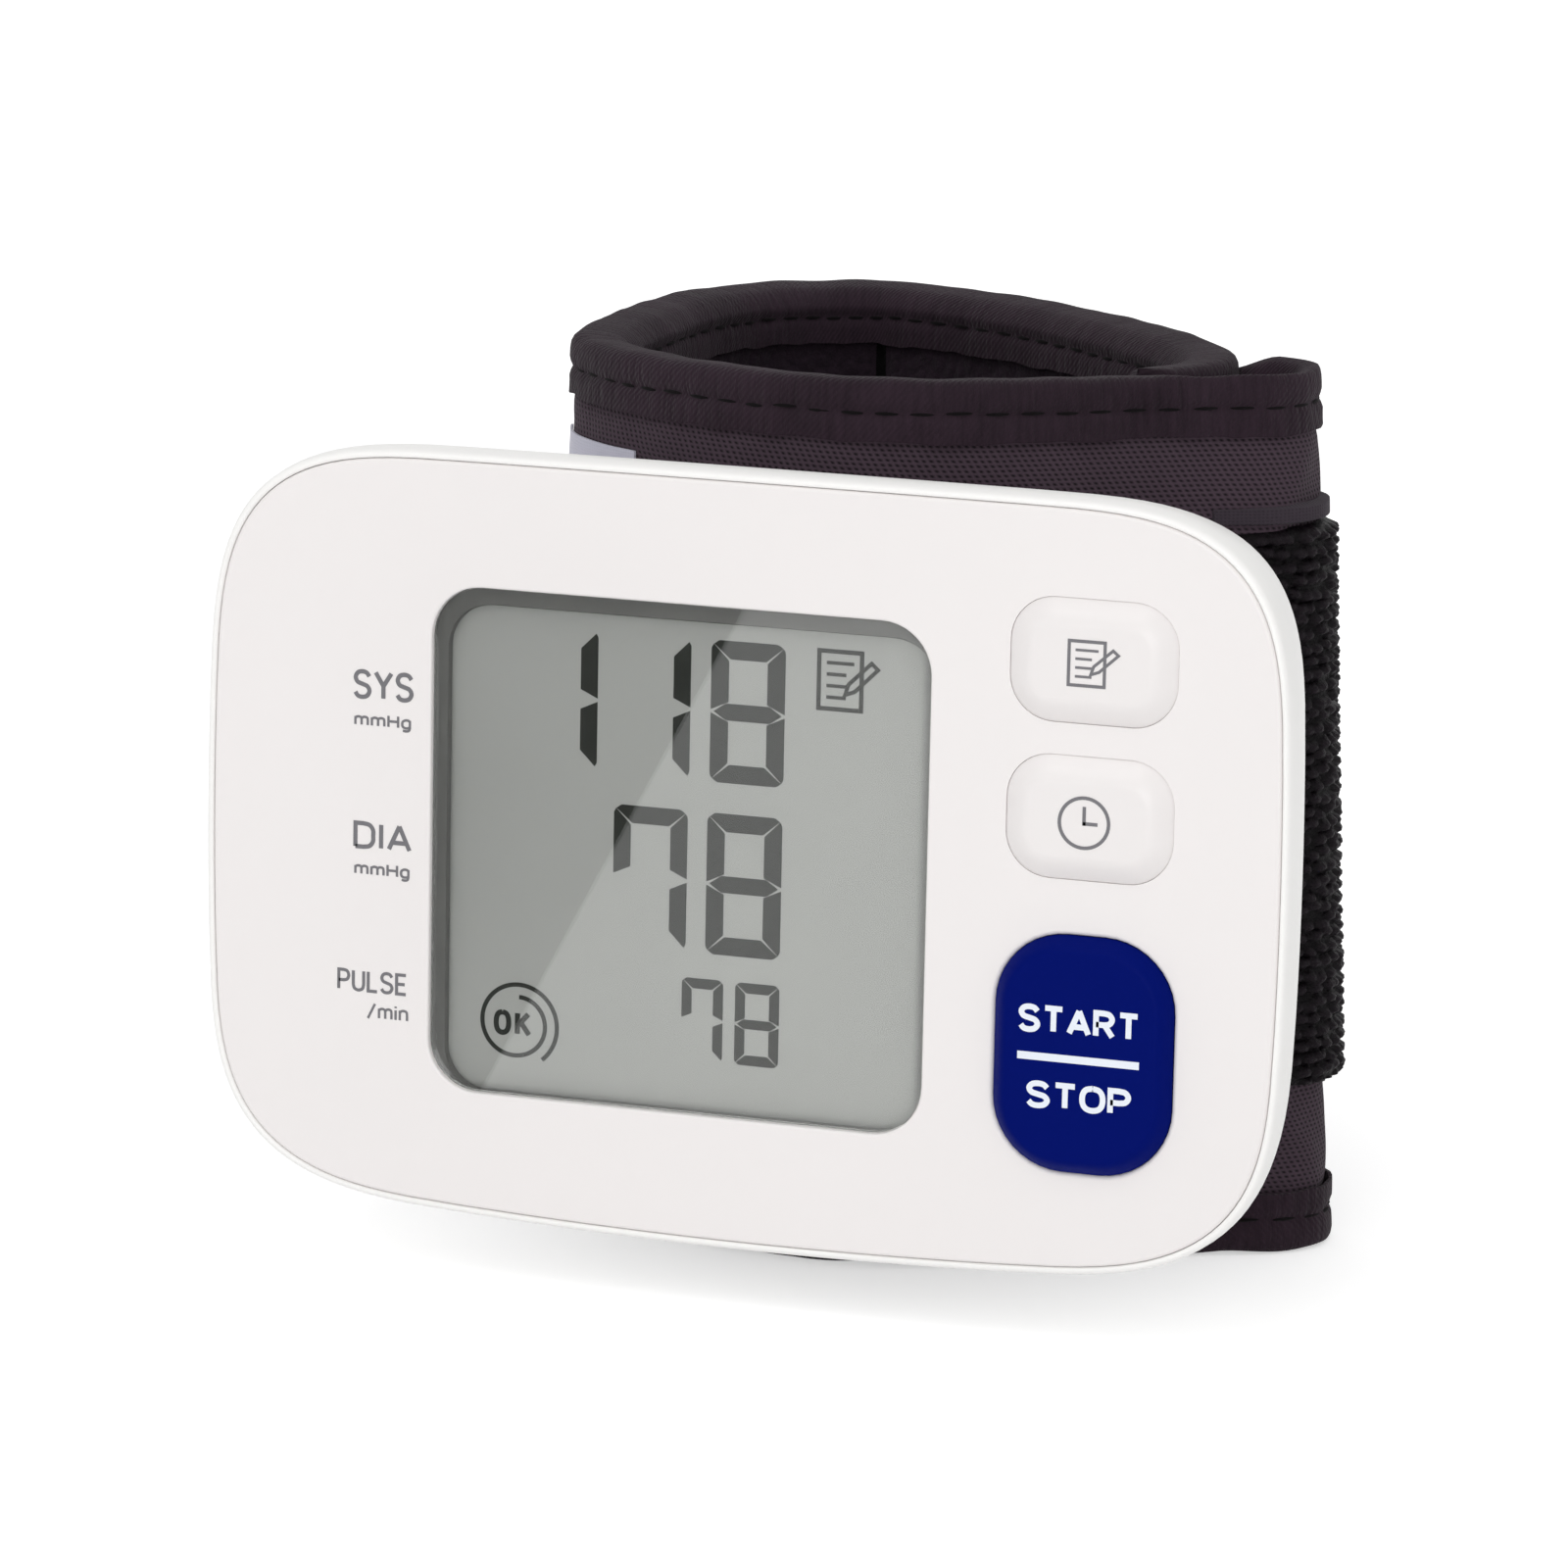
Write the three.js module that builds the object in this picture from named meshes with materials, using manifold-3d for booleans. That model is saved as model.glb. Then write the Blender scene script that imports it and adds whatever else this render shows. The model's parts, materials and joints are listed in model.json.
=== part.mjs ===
// Wrist blood pressure monitor: a slim white case with a display and three keys, carried on
// the front of a soft wrap-round cuff. Millimetres, +Z up, the display faces -Y and +X is to
// the right of someone reading it. The part stands on the cuff's lower edge.
import * as THREE from 'three';
import { mergeVertices } from 'three/addons/utils/BufferGeometryUtils.js';
import Module from 'manifold-3d';

// Clearances
const fitGap = 0.3;
const overrun = 3.0;

// Face, read across: margin, window, bar between, keys, margin
const faceLeft = 18.7;
const windowWidth = 41.9;
const windowToKeys = 5.95;
const startWidth = 14.6;
const faceRight = 8.05;
const windowHeight = 41.6;
const windowCorner = 4.2;

// Case outline and shell
const cornerReachX = 20.9;
const cornerReachZ = 19.9;
const cornerExponent = 3.5;
const sideBow = 1.15;
const topBow = 0.13;
const bottomBow = 1.98;
const rimWidth = 0.9;
const rimRound = 0.35;
const caseWall = 1.5;
const backTaper = 9.0;
const facePlate = 1.4;
const plateEdgeRound = 0.75;
const skirtThickness = 1.0;
const skirtDepth = 2.6;
const ledgeWidth = 0.85;

// Window, seal and display
const lensRecess = 0.4;
const gasketThickness = 0.6;
const gasketLap = 0.8;
const displayThickness = 1.2;
const displayMargin = 1.1;
const holderThickness = 0.8;
const holderRail = 3.0;
const boardThickness = 1.0;
const contactStripWidth = 1.6;

// Keys
const keyTopMargin = 6.95;
const smallKeyWidth = 13.6;
const smallKeyHeight = 9.9;
const smallKeyCorner = 3.6;
const smallKeyGap = 2.6;
const startKeyGap = 4.5;
const startHeight = 19.2;
const startCorner = 5.8;
const keyRise = 1.1;
const keySoftEdge = 2.2;
const flangeWidth = 0.9;
const flangeThickness = 0.6;
const keyTravel = 0.8;
const keyOvertravel = 0.1;
const matThickness = 0.8;
const domeRadius = 3.2;
const domeTopRadius = 1.8;

// Cells and their bay
const cellRadius = 5.25;
const cellLength = 44.5;
const cellNubRadius = 1.9;
const cellNubLength = 1.2;
const cellGap = 0.3;
const cellRoom = 0.5;
const cellMargin = 6.5;
const springLength = 2.2;
const springWire = 0.25;
const springRadius = 2.6;
const springTurns = 1.6;
const springTaperShare = 0.42;
const contactPlate = 0.4;
const contactHalfWidth = 2.8;
const bayWall = 1.2;
const doorLip = 0.3;
const doorFrontShare = 0.54;

// Screws, bosses and posts
const bossRadius = 2.2;
const postRadius = 2.8;
const screwRadius = 1.2;
const screwHeadRadius = 2.0;
const screwHeadHeight = 1.1;
const screwSink = 0.9;
const bossEnd = 10.5;
const bossRimRoom = 4.5;
const slotWidth = 0.5;
const slotDepth = 0.4;

// Parts on the back of the board
const boardRightMargin = 4.1;
const pumpToBuzzerGap = 2.74;
const chipSize = 10.0;
const chipThickness = 1.2;
const buzzerRadius = 4.8;
const buzzerHeight = 3.0;
const sensorSize = 7.0;
const sensorHeight = 3.2;
const nozzleRadius = 1.2;
const nozzleLength = 2.0;
const pumpRadius = 3.9;
const pumpLength = 18.0;
const pumpHeadWidth = 9.0;
const pumpHeadDepth = 7.8;
const pumpHeadHeight = 10.5;
const pumpChamberRadius = 3.2;
const shaftRadius = 0.7;
const eccentricRadius = 2.0;
const eccentricOffset = 0.8;
const eccentricLength = 5.0;
const shaftClearance = 0.4;
const valveRadius = 3.6;
const valveLength = 11.0;
const plungerRadius = 1.2;
const plungerHeadRadius = 2.4;
const plungerHeadHeight = 1.0;
const manifoldWidth = 13.0;
const manifoldHeight = 10.0;
const manifoldDepth = 4.3;
const airBoreRadius = 0.8;
const tubeRadius = 1.5;
const sensorTubeRadius = 1.1;

// Cuff
const cuffHeight = 74.1;
const cuffBelowCase = 6.3;
const ringHalfWidth = 28.0;
const ringHalfDepth = 28.1;
const ringOffset = 0.5;
const saddleThickness = 1.6;
const cuffSpreadWidth = 2.3;
const cuffFlareShare = 0.04;
const bindingHeight = 5.0;
const bindingThickness = 0.4;
const coverThickness = 0.6;
const coverCrown = 0.3;
const curlerThickness = 0.9;
const bladderThickness = 1.1;
const liningThickness = 0.7;
const tailThickness = 1.5;
const padThickness = 1.6;
const padDrop = 12.85;
const padFootRise = 14.25;
const selvedgeHeight = 2.6;
const selvedgeThickness = 0.4;
const labelThickness = 0.25;
const labelWidth = 17.0;
const labelHeight = 38.0;
const labelDrop = 8.6;
const bandGap = 0.5;
const saddleWidth = 27.0;
const saddleHeight = 40.0;

// Plan of the band, from its tucked-in inner end, round the back, the left and the front to
// the free end of the tail: shares of the ring's half width and half depth from its centre
const bandShares = [
  [0.896, -0.416], [0.979, -0.267], [1.0, -0.089], [0.918, 0.125], [0.682, 0.402],
  [0.268, 0.747], [-0.125, 0.95], [-0.411, 1.0], [-0.696, 0.879], [-0.904, 0.63],
  [-0.989, 0.31], [-1.0, -0.011], [-0.996, -0.278], [-0.939, -0.527], [-0.732, -0.747],
  [-0.446, -0.904], [-0.161, -0.986], [0.125, -1.0], [0.375, -0.929], [0.625, -0.779],
  [0.839, -0.619], [1.045, -0.484], [1.204, -0.381], [1.275, -0.25], [1.246, -0.082],
  [1.146, 0.0], [1.018, 0.021],
];
// Where the band is hinged at the left and at the fold of the tail: shares of its length
const backHingeShare = 0.53325;
const tailHingeShare = 0.85602;

// How the shell runs from the face to the back: share of the depth, share of the taper
const shellShares = [
  [0.03, 0.01], [0.13, 0.0], [0.3, 0.04], [0.5, 0.12],
  [0.68, 0.21], [0.82, 0.33], [0.92, 0.5], [0.98, 0.72], [1.0, 1.0],
];

// Sizes that follow
const startX = faceLeft + windowWidth + windowToKeys + startWidth / 2;
const seamHalfWidth = (startX + startWidth / 2 + faceRight) / 2;
const keyX = startX - seamHalfWidth;
const windowX = faceLeft + windowWidth / 2 - seamHalfWidth;
const pumpFootShare = 0.4;
const boardHeight = pumpRadius * pumpFootShare + pumpLength + pumpHeadHeight + pumpToBuzzerGap
  + buzzerRadius * 2 + fitGap * 2;
const insideHalf = Math.max(windowHeight / 2 + gasketLap, boardHeight / 2);
const bossZ = insideHalf + fitGap + bossRadius;
const bayHalf = (cellLength + springLength + fitGap * 3) / 2 + contactPlate;
const seamHalfHeight = Math.max(bossZ + bossRadius + bossRimRoom, bayHalf + bayWall + bossRimRoom);

const gasketY = facePlate + fitGap;
const displayY = gasketY + gasketThickness + fitGap;
const displayBackY = displayY + displayThickness;
const holderY = displayBackY + fitGap;
const boardY = holderY + holderThickness + fitGap;
const boardBackY = boardY + boardThickness;
const cellY = displayBackY + cellRoom + cellRadius;
const shellInnerY = cellY + cellRadius + fitGap;
const caseDepth = shellInnerY + caseWall;

const cell1X = -seamHalfWidth + cellMargin + cellRadius;
const cell2X = cell1X + cellRadius * 2 + cellGap;
const bayX = cell2X + cellRadius + fitGap;
const boardLeft = bayX + bayWall + fitGap * 2;
const boardRight = seamHalfWidth - boardRightMargin;

const keyTop = seamHalfHeight - keyTopMargin;
const memoryZ = keyTop - smallKeyHeight / 2;
const clockZ = memoryZ - smallKeyHeight - smallKeyGap;
const startZ = clockZ - smallKeyHeight / 2 - startKeyGap - startHeight / 2;

// Stations of the cuff's layers, measured inwards from the binding's outer face
const coverU = bindingThickness + fitGap;
const curlerU = coverU + coverThickness + fitGap;
const bladderU = curlerU + curlerThickness + fitGap;
const liningU = bladderU + bladderThickness + fitGap;
const innerBindingU = liningU + liningThickness + fitGap;
const bandThickness = innerBindingU + bindingThickness;
const cuffBottom = -seamHalfHeight - cuffBelowCase;
const cuffTop = cuffBottom + cuffHeight;
const layerBottom = cuffBottom + bindingThickness + fitGap;
const layerTop = cuffTop - bindingThickness - fitGap;
const padHeight = cuffHeight - padDrop - padFootRise;
const ringX = ringOffset;
const ringY = caseDepth + saddleThickness + ringHalfDepth;

const wasm = await Module();
wasm.setup();

// A closed body from corner points and triangles, turned outwards if its volume is negative
function bodyOf(points, triangles) {
  let volume = 0;
  for (const [a, b, c] of triangles) {
    volume += points[a].dot(new THREE.Vector3().crossVectors(points[b], points[c]));
  }
  const faces = volume < 0 ? triangles.map(([a, b, c]) => [a, c, b]) : triangles;
  const geometry = new THREE.BufferGeometry().setFromPoints(points);
  geometry.setIndex(faces.flat());
  return geometry;
}

function solidOf(geometry) {
  const bare = geometry.clone();
  bare.deleteAttribute('normal');
  bare.deleteAttribute('uv');
  const merged = mergeVertices(bare, fitGap / 1000);
  return new wasm.Manifold(new wasm.Mesh({
    numProp: 3,
    vertProperties: new Float32Array(merged.attributes.position.array),
    triVerts: new Uint32Array(merged.index.array),
  }));
}

function geometryOf(solid) {
  const mesh = solid.getMesh();
  const geometry = new THREE.BufferGeometry();
  const places = new Float32Array(mesh.numVert * 3);
  for (let i = 0; i < mesh.numVert; i++) {
    for (let k = 0; k < 3; k++) {
      places[i * 3 + k] = mesh.vertProperties[i * mesh.numProp + k];
    }
  }
  geometry.setAttribute('position', new THREE.BufferAttribute(places, 3));
  geometry.setIndex(new THREE.BufferAttribute(new Uint32Array(mesh.triVerts), 1));
  return geometry;
}

function cut(body, ...tools) {
  return tools.reduce((left, tool) => left.subtract(tool), body);
}

function join(body, ...more) {
  return more.reduce((left, piece) => left.add(piece), body);
}

// Rings of equal point counts skinned into one closed body, with a flat fan on each end
function loftGeometry(rings) {
  const count = rings[0].length;
  const points = rings.flat();
  const triangles = [];
  for (let k = 0; k + 1 < rings.length; k++) {
    for (let j = 0; j < count; j++) {
      const a = k * count + j;
      const b = k * count + (j + 1) % count;
      triangles.push([a, a + count, b], [b, a + count, b + count]);
    }
  }
  for (const k of [0, rings.length - 1]) {
    const centre = new THREE.Vector3();
    rings[k].forEach((p) => centre.add(p));
    points.push(centre.divideScalar(count));
    const hub = points.length - 1;
    for (let j = 0; j < count; j++) {
      const a = k * count + j;
      const b = k * count + (j + 1) % count;
      triangles.push(k === 0 ? [hub, a, b] : [hub, b, a]);
    }
  }
  return bodyOf(points, triangles);
}

function loft(rings) {
  return solidOf(loftGeometry(rings));
}

function block(x0, x1, y0, y1, z0, z1) {
  const box = new THREE.BoxGeometry(x1 - x0, y1 - y0, z1 - z0);
  return solidOf(box.translate((x0 + x1) / 2, (y0 + y1) / 2, (z0 + z1) / 2));
}

// A round bar from one level to another, along Y or along Z, centred on the other two places
function barY(radius, x, z, y0, y1, sides = 16) {
  const bar = new THREE.CylinderGeometry(radius, radius, y1 - y0, sides);
  return solidOf(bar.translate(x, (y0 + y1) / 2, z));
}

function barZ(radius, x, y, z0, z1, sides = 16) {
  const bar = new THREE.CylinderGeometry(radius, radius, z1 - z0, sides);
  return solidOf(bar.rotateX(Math.PI / 2).translate(x, y, (z0 + z1) / 2));
}

function barX(radius, y, z, x0, x1, sides = 12) {
  const bar = new THREE.CylinderGeometry(radius, radius, x1 - x0, sides);
  return solidOf(bar.rotateZ(Math.PI / 2).translate((x0 + x1) / 2, y, z));
}

// Case outline: a rectangle with superelliptic corners whose four sides bow outwards
function caseRing(y, grow) {
  const halfWidth = seamHalfWidth + grow;
  const halfHeight = seamHalfHeight + grow;
  const reachX = cornerReachX + grow;
  const reachZ = cornerReachZ + grow;
  const cornerSteps = 7;
  const sideSteps = 2;
  const quarter = [];
  for (let i = 0; i < sideSteps; i++) {
    quarter.push([halfWidth, (halfHeight - reachZ) * i / sideSteps]);
  }
  for (let i = 0; i <= cornerSteps; i++) {
    const turn = Math.PI / 2 * i / cornerSteps;
    quarter.push([
      halfWidth - reachX + reachX * Math.cos(turn) ** (2 / cornerExponent),
      halfHeight - reachZ + reachZ * Math.sin(turn) ** (2 / cornerExponent),
    ]);
  }
  for (let i = 1; i <= sideSteps; i++) {
    quarter.push([(halfWidth - reachX) * (1 - i / sideSteps), halfHeight]);
  }
  const right = [...quarter];
  const left = [...quarter].reverse().slice(1).map(([x, z]) => [-x, z]);
  const upper = [...right, ...left];
  const lower = [...upper].reverse().slice(1, -1).map(([x, z]) => [x, -z]);
  return [...upper, ...lower].map(([x, z]) => {
    const bow = z > 0 ? topBow : bottomBow;
    const narrow = 1 - sideBow / seamHalfWidth * (z / seamHalfHeight) ** 2;
    const low = 1 - bow / seamHalfHeight * (x / seamHalfWidth) ** 2;
    return new THREE.Vector3(x * narrow, y, z * low);
  });
}

// A rectangle with round corners in the face's plane
function frameRing(y, x, z, width, height, corner, grow = 0) {
  const w = width / 2 + grow;
  const h = height / 2 + grow;
  const r = Math.max(corner + grow, corner * 0.2);
  const steps = 5;
  const ring = [];
  for (let q = 0; q < 4; q++) {
    const cx = (q === 0 || q === 3 ? 1 : -1) * (w - r);
    const cz = (q < 2 ? 1 : -1) * (h - r);
    for (let i = 0; i <= steps; i++) {
      const turn = Math.PI / 2 * (q + i / steps);
      ring.push(new THREE.Vector3(x + cx + r * Math.cos(turn), y, z + cz + r * Math.sin(turn)));
    }
  }
  return ring;
}

function frameBlock(x, z, width, height, corner, y0, y1, grow = 0) {
  return loft([y0, y1].map((y) => frameRing(y, x, z, width, height, corner, grow)));
}

const assembly = new THREE.Group();

function addPart(name, solid, color, roughness, metalness = 0) {
  const geometry = solid.isBufferGeometry ? solid : geometryOf(solid);
  const material = new THREE.MeshStandardMaterial({ color, roughness, metalness });
  const mesh = new THREE.Mesh(geometry, material);
  mesh.name = name;
  assembly.add(mesh);
  return mesh;
}

const white = 0xf4f1ec;
const keyWhite = 0xf6f5f2;
const deepBlue = 0x001068;
const darkGrey = 0x3a3a38;
const steel = 0xb8bcc0;
const brassYellow = 0xc8a860;
const boardGreen = 0x1f5a36;
const twillBlack = 0x2e272b;
const pileBlack = 0x151313;
const tapeBlack = 0x383238;
const labelGrey = 0xb9bac6;
const rubberGrey = 0x55565a;

const bossPlaces = [
  bayX + bayWall + fitGap + bossRadius,
  windowX + windowWidth / 2 + bossRadius + gasketLap,
].flatMap((x) => [[x, bossZ], [x, -bossZ]]);
const keyPlaces = [
  { z: memoryZ, width: smallKeyWidth, height: smallKeyHeight, corner: smallKeyCorner },
  { z: clockZ, width: smallKeyWidth, height: smallKeyHeight, corner: smallKeyCorner },
  { z: startZ, width: startWidth, height: startHeight, corner: startCorner },
];

// The screws' heads sit in round pockets in the back shell
const screwHeadBack = caseDepth - screwSink;
const screwSeat = screwHeadBack - screwHeadHeight;
const pocketFloor = screwSeat - fitGap;
const postFront = bossEnd + fitGap;

function makeFrontCase() {
  const half = fitGap / 2;
  const plate = loft([
    caseRing(facePlate, -half),
    caseRing(plateEdgeRound / 2, -half),
    caseRing(plateEdgeRound / 8, -half - plateEdgeRound / 4),
    caseRing(0, -half - plateEdgeRound),
  ]);
  const skirtOut = -ledgeWidth - fitGap;
  const skirtTop = facePlate - fitGap;
  const skirtEnd = facePlate + skirtDepth;
  const skirt = cut(
    loft([caseRing(skirtTop, skirtOut), caseRing(skirtEnd, skirtOut)]),
    loft([
      caseRing(skirtTop - overrun, skirtOut - skirtThickness),
      caseRing(skirtEnd + overrun, skirtOut - skirtThickness),
    ]),
  );
  const bosses = bossPlaces.map(([x, z]) => barY(bossRadius, x, z, skirtTop, bossEnd));
  const bores = bossPlaces.map(([x, z]) => (
    barY(screwRadius + fitGap, x, z, facePlate + fitGap, bossEnd + overrun)
  ));
  const window = frameBlock(windowX, 0, windowWidth, windowHeight, windowCorner, -overrun, overrun);
  const keyHoles = keyPlaces.map(({ z, width, height, corner }) => (
    frameBlock(keyX, z, width, height, corner, -overrun, overrun, fitGap)
  ));
  return cut(join(plate, skirt, ...bosses), window, ...keyHoles, ...bores);
}

function shellRings(inset, depth) {
  return shellShares.map(([along, taper]) => (
    caseRing(along * depth, rimWidth - taper * backTaper - inset)
  ));
}

function makeShell() {
  const outside = loft([caseRing(0, rimRound), ...shellRings(0, caseDepth)]);
  const pocketDepth = facePlate + fitGap;
  const pocket = loft([caseRing(-overrun, fitGap / 2), caseRing(pocketDepth, fitGap / 2)]);
  const cavity = shellRings(caseWall, shellInnerY).filter((ring) => ring[0].y > pocketDepth);
  const mouth = caseRing(pocketDepth - fitGap, -ledgeWidth + fitGap / 2);
  return { outside, inside: join(pocket, loft([mouth, ...cavity])) };
}

const shell = makeShell();
const doorHalf = bayHalf - fitGap;
const doorFront = caseDepth * doorFrontShare;

function doorBlock(grow) {
  return block(
    -seamHalfWidth - overrun * 2, bayX + grow,
    doorFront - grow, caseDepth + overrun,
    -doorHalf - grow, doorHalf + grow,
  );
}

// Joint of the case and the cuff: two screws and the air nozzle go through the case's back
const saddleX = ringX - ringHalfWidth * 0.04;
const saddleScrews = [
  [saddleX - saddleWidth * 0.4, saddleHeight * 0.25],
  [saddleX + saddleWidth * 0.4, -saddleHeight * 0.25],
];
const nozzleX = saddleX + saddleWidth * 0.13;
const nozzleZ = -manifoldHeight * 0.2;

function makeRearCase() {
  const posts = bossPlaces.map(([x, z]) => barY(postRadius, x, z, postFront, caseDepth + overrun));
  const wallFront = cellY - cellRadius;
  const left = -seamHalfWidth - overrun;
  const walls = [
    block(bayX, bayX + bayWall, wallFront, caseDepth, -bayHalf - bayWall, bayHalf + bayWall),
    block(left, bayX + bayWall, wallFront, caseDepth, bayHalf, bayHalf + bayWall),
    block(left, bayX + bayWall, wallFront, caseDepth, -bayHalf - bayWall, -bayHalf),
  ];
  const inner = join(...walls, ...posts).intersect(shell.outside);
  const drills = bossPlaces.flatMap(([x, z]) => [
    barY(screwRadius + fitGap, x, z, postFront - overrun, caseDepth + overrun),
    barY(screwHeadRadius + fitGap, x, z, pocketFloor, caseDepth + overrun),
  ]);
  const passages = [
    ...saddleScrews.map(([x, z]) => (
      barY(screwRadius + fitGap, x, z, shellInnerY - overrun, caseDepth + overrun)
    )),
    barY(nozzleRadius + fitGap, nozzleX, nozzleZ, shellInnerY - overrun, caseDepth + overrun),
  ];
  const body = join(shell.outside.subtract(shell.inside), inner);
  return cut(body, doorBlock(fitGap), ...drills, ...passages);
}

function makeBatteryCover() {
  const skin = shell.outside.subtract(shell.inside).intersect(doorBlock(0));
  const gripZ = doorHalf * 0.22;
  const grips = [-1, 0, 1].map((n) => (
    block(
      cell1X + n * doorLip * 6, cell1X + n * doorLip * 6 + doorLip * 2,
      caseDepth - doorLip, caseDepth + overrun, -gripZ, gripZ,
    )
  ));
  return cut(skin, ...grips);
}

addPart('front_case', makeFrontCase(), white, 0.45);
addPart('rear_case', makeRearCase(), white, 0.45);
addPart('battery_cover', makeBatteryCover(), white, 0.45);

// Window, its seal, the display and its holder
addPart(
  'window_lens',
  frameBlock(windowX, 0, windowWidth, windowHeight, windowCorner, lensRecess, facePlate, -fitGap),
  0xdfe6e2, 0.08,
);
addPart(
  'window_gasket',
  cut(
    frameBlock(
      windowX, 0, windowWidth, windowHeight, windowCorner,
      gasketY, gasketY + gasketThickness, gasketLap,
    ),
    frameBlock(
      windowX, 0, windowWidth, windowHeight, windowCorner,
      gasketY - overrun, gasketY + overrun, -gasketLap,
    ),
  ),
  darkGrey, 0.8,
);
addPart(
  'display_glass',
  block(
    windowX - windowWidth / 2 - displayMargin, windowX + windowWidth / 2 + displayMargin,
    displayY, displayBackY,
    -windowHeight / 2 - gasketLap, windowHeight / 2 + gasketLap,
  ),
  0xa4a8a2, 0.3,
);

const holderLeft = boardLeft + fitGap;
const holderRight = windowX + windowWidth / 2 + displayMargin;
const holderHalf = boardHeight / 2 - fitGap;
const stripX = holderRight - holderRail - contactStripWidth - fitGap;
addPart(
  'display_holder',
  cut(
    block(holderLeft, holderRight, holderY, holderY + holderThickness, -holderHalf, holderHalf),
    block(
      holderLeft + holderRail, holderRight - holderRail, holderY - overrun, holderY + overrun,
      -holderHalf + holderRail, holderHalf - holderRail,
    ),
  ),
  0xe6e4de, 0.6,
);
addPart(
  'display_contact_strip',
  block(
    stripX, stripX + contactStripWidth, holderY, boardY - fitGap,
    -holderHalf + holderRail + fitGap, holderHalf - holderRail - fitGap,
  ),
  0x6a3a5a, 0.7,
);

// Keys: a soft pillow above the face, a straight stem through the plate and a flange behind
function keyBody({ z, width, height, corner }) {
  const ring = (y, grow) => frameRing(y, keyX, z, width, height, corner, grow);
  const cap = loft([
    ring(facePlate + fitGap * 2, 0),
    ring(-keyRise * 0.35, 0),
    ring(-keyRise * 0.65, -keySoftEdge * 0.12),
    ring(-keyRise * 0.88, -keySoftEdge * 0.45),
    ring(-keyRise, -keySoftEdge),
  ]);
  const flangeFront = facePlate + fitGap;
  const flange = loft([
    ring(flangeFront, flangeWidth + fitGap),
    ring(flangeFront + flangeThickness, flangeWidth + fitGap),
  ]);
  return join(cap, flange);
}

addPart('memory_key', keyBody(keyPlaces[0]), keyWhite, 0.5);
addPart('clock_key', keyBody(keyPlaces[1]), keyWhite, 0.5);
addPart('start_key', keyBody(keyPlaces[2]), deepBlue, 0.4);

const keyBack = facePlate + fitGap + flangeThickness;
const domeTopY = keyBack + keyTravel + keyOvertravel;
const matY = boardY - fitGap - matThickness;
function makeKeypadMat() {
  const base = block(
    keyX - startWidth / 2 - flangeWidth + fitGap, keyX + startWidth / 2 + flangeWidth,
    matY, matY + matThickness,
    -boardHeight / 2 + fitGap, boardHeight / 2 - fitGap,
  );
  const domes = keyPlaces.map(({ z }) => {
    const dome = new THREE.CylinderGeometry(
      domeRadius, domeTopRadius, matY + matThickness / 2 - domeTopY, 16,
    );
    return solidOf(dome.translate(keyX, (domeTopY + matY + matThickness / 2) / 2, z));
  });
  return join(base, ...domes);
}
addPart('keypad_mat', makeKeypadMat(), 0xd8d8d2, 0.8);

// Circuit board and what is soldered on its back
const behindBoard = boardBackY + fitGap;
addPart(
  'circuit_board',
  block(boardLeft, boardRight, boardY, boardBackY, -boardHeight / 2, boardHeight / 2),
  boardGreen, 0.55,
);
const chipX = boardLeft + chipSize * 0.8;
const chipZ = boardHeight / 2 - chipSize * 0.75;
addPart(
  'processor_chip',
  block(
    chipX - chipSize / 2, chipX + chipSize / 2, behindBoard, behindBoard + chipThickness,
    chipZ - chipSize / 2, chipZ + chipSize / 2,
  ),
  0x202022, 0.5,
);
const buzzerX = boardRight - buzzerRadius - fitGap;
const buzzerZ = boardHeight / 2 - buzzerRadius - fitGap;
addPart(
  'buzzer',
  cut(
    barY(buzzerRadius, buzzerX, buzzerZ, behindBoard, behindBoard + buzzerHeight, 24),
    barY(
      buzzerRadius / 5, buzzerX, buzzerZ,
      behindBoard + buzzerHeight / 2, behindBoard + buzzerHeight + overrun,
    ),
  ),
  0x1c1c1e, 0.6,
);

// Pump: a can with a turning shaft, whose eccentric works in the head's chamber
const airY = (behindBoard + shellInnerY) / 2;
const pumpX = boardRight - pumpHeadWidth * 1.2;
const pumpFoot = -boardHeight / 2 + pumpRadius * pumpFootShare;
const pumpTop = pumpFoot + pumpLength;
const headFoot = pumpTop + fitGap;
const headTop = headFoot + pumpHeadHeight;
addPart(
  'pump_motor',
  cut(
    barZ(pumpRadius, pumpX, airY, pumpFoot, pumpTop, 24),
    barZ(shaftRadius + shaftClearance, pumpX, airY, pumpFoot + caseWall, pumpTop + overrun),
  ),
  steel, 0.35, 0.9,
);
addPart(
  'pump_head',
  cut(
    join(
      block(
        pumpX - pumpHeadWidth / 2, pumpX + pumpHeadWidth / 2,
        airY - pumpHeadDepth / 2, airY + pumpHeadDepth / 2, headFoot, headTop,
      ),
      barZ(nozzleRadius, pumpX, airY, headTop - fitGap, headTop + nozzleLength),
    ),
    barZ(
      pumpChamberRadius, pumpX, airY,
      headFoot - overrun, headFoot + eccentricLength + shaftClearance * 4,
    ),
  ),
  0x2a2a2c, 0.6,
);
addPart(
  'pump_rotor',
  join(
    barZ(
      shaftRadius, pumpX, airY,
      pumpFoot + caseWall + shaftClearance, headFoot + eccentricLength + shaftClearance,
    ),
    barZ(
      eccentricRadius, pumpX + eccentricOffset, airY,
      headFoot + shaftClearance * 2, headFoot + eccentricLength + shaftClearance * 2,
    ),
  ),
  steel, 0.3, 0.9,
);

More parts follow.
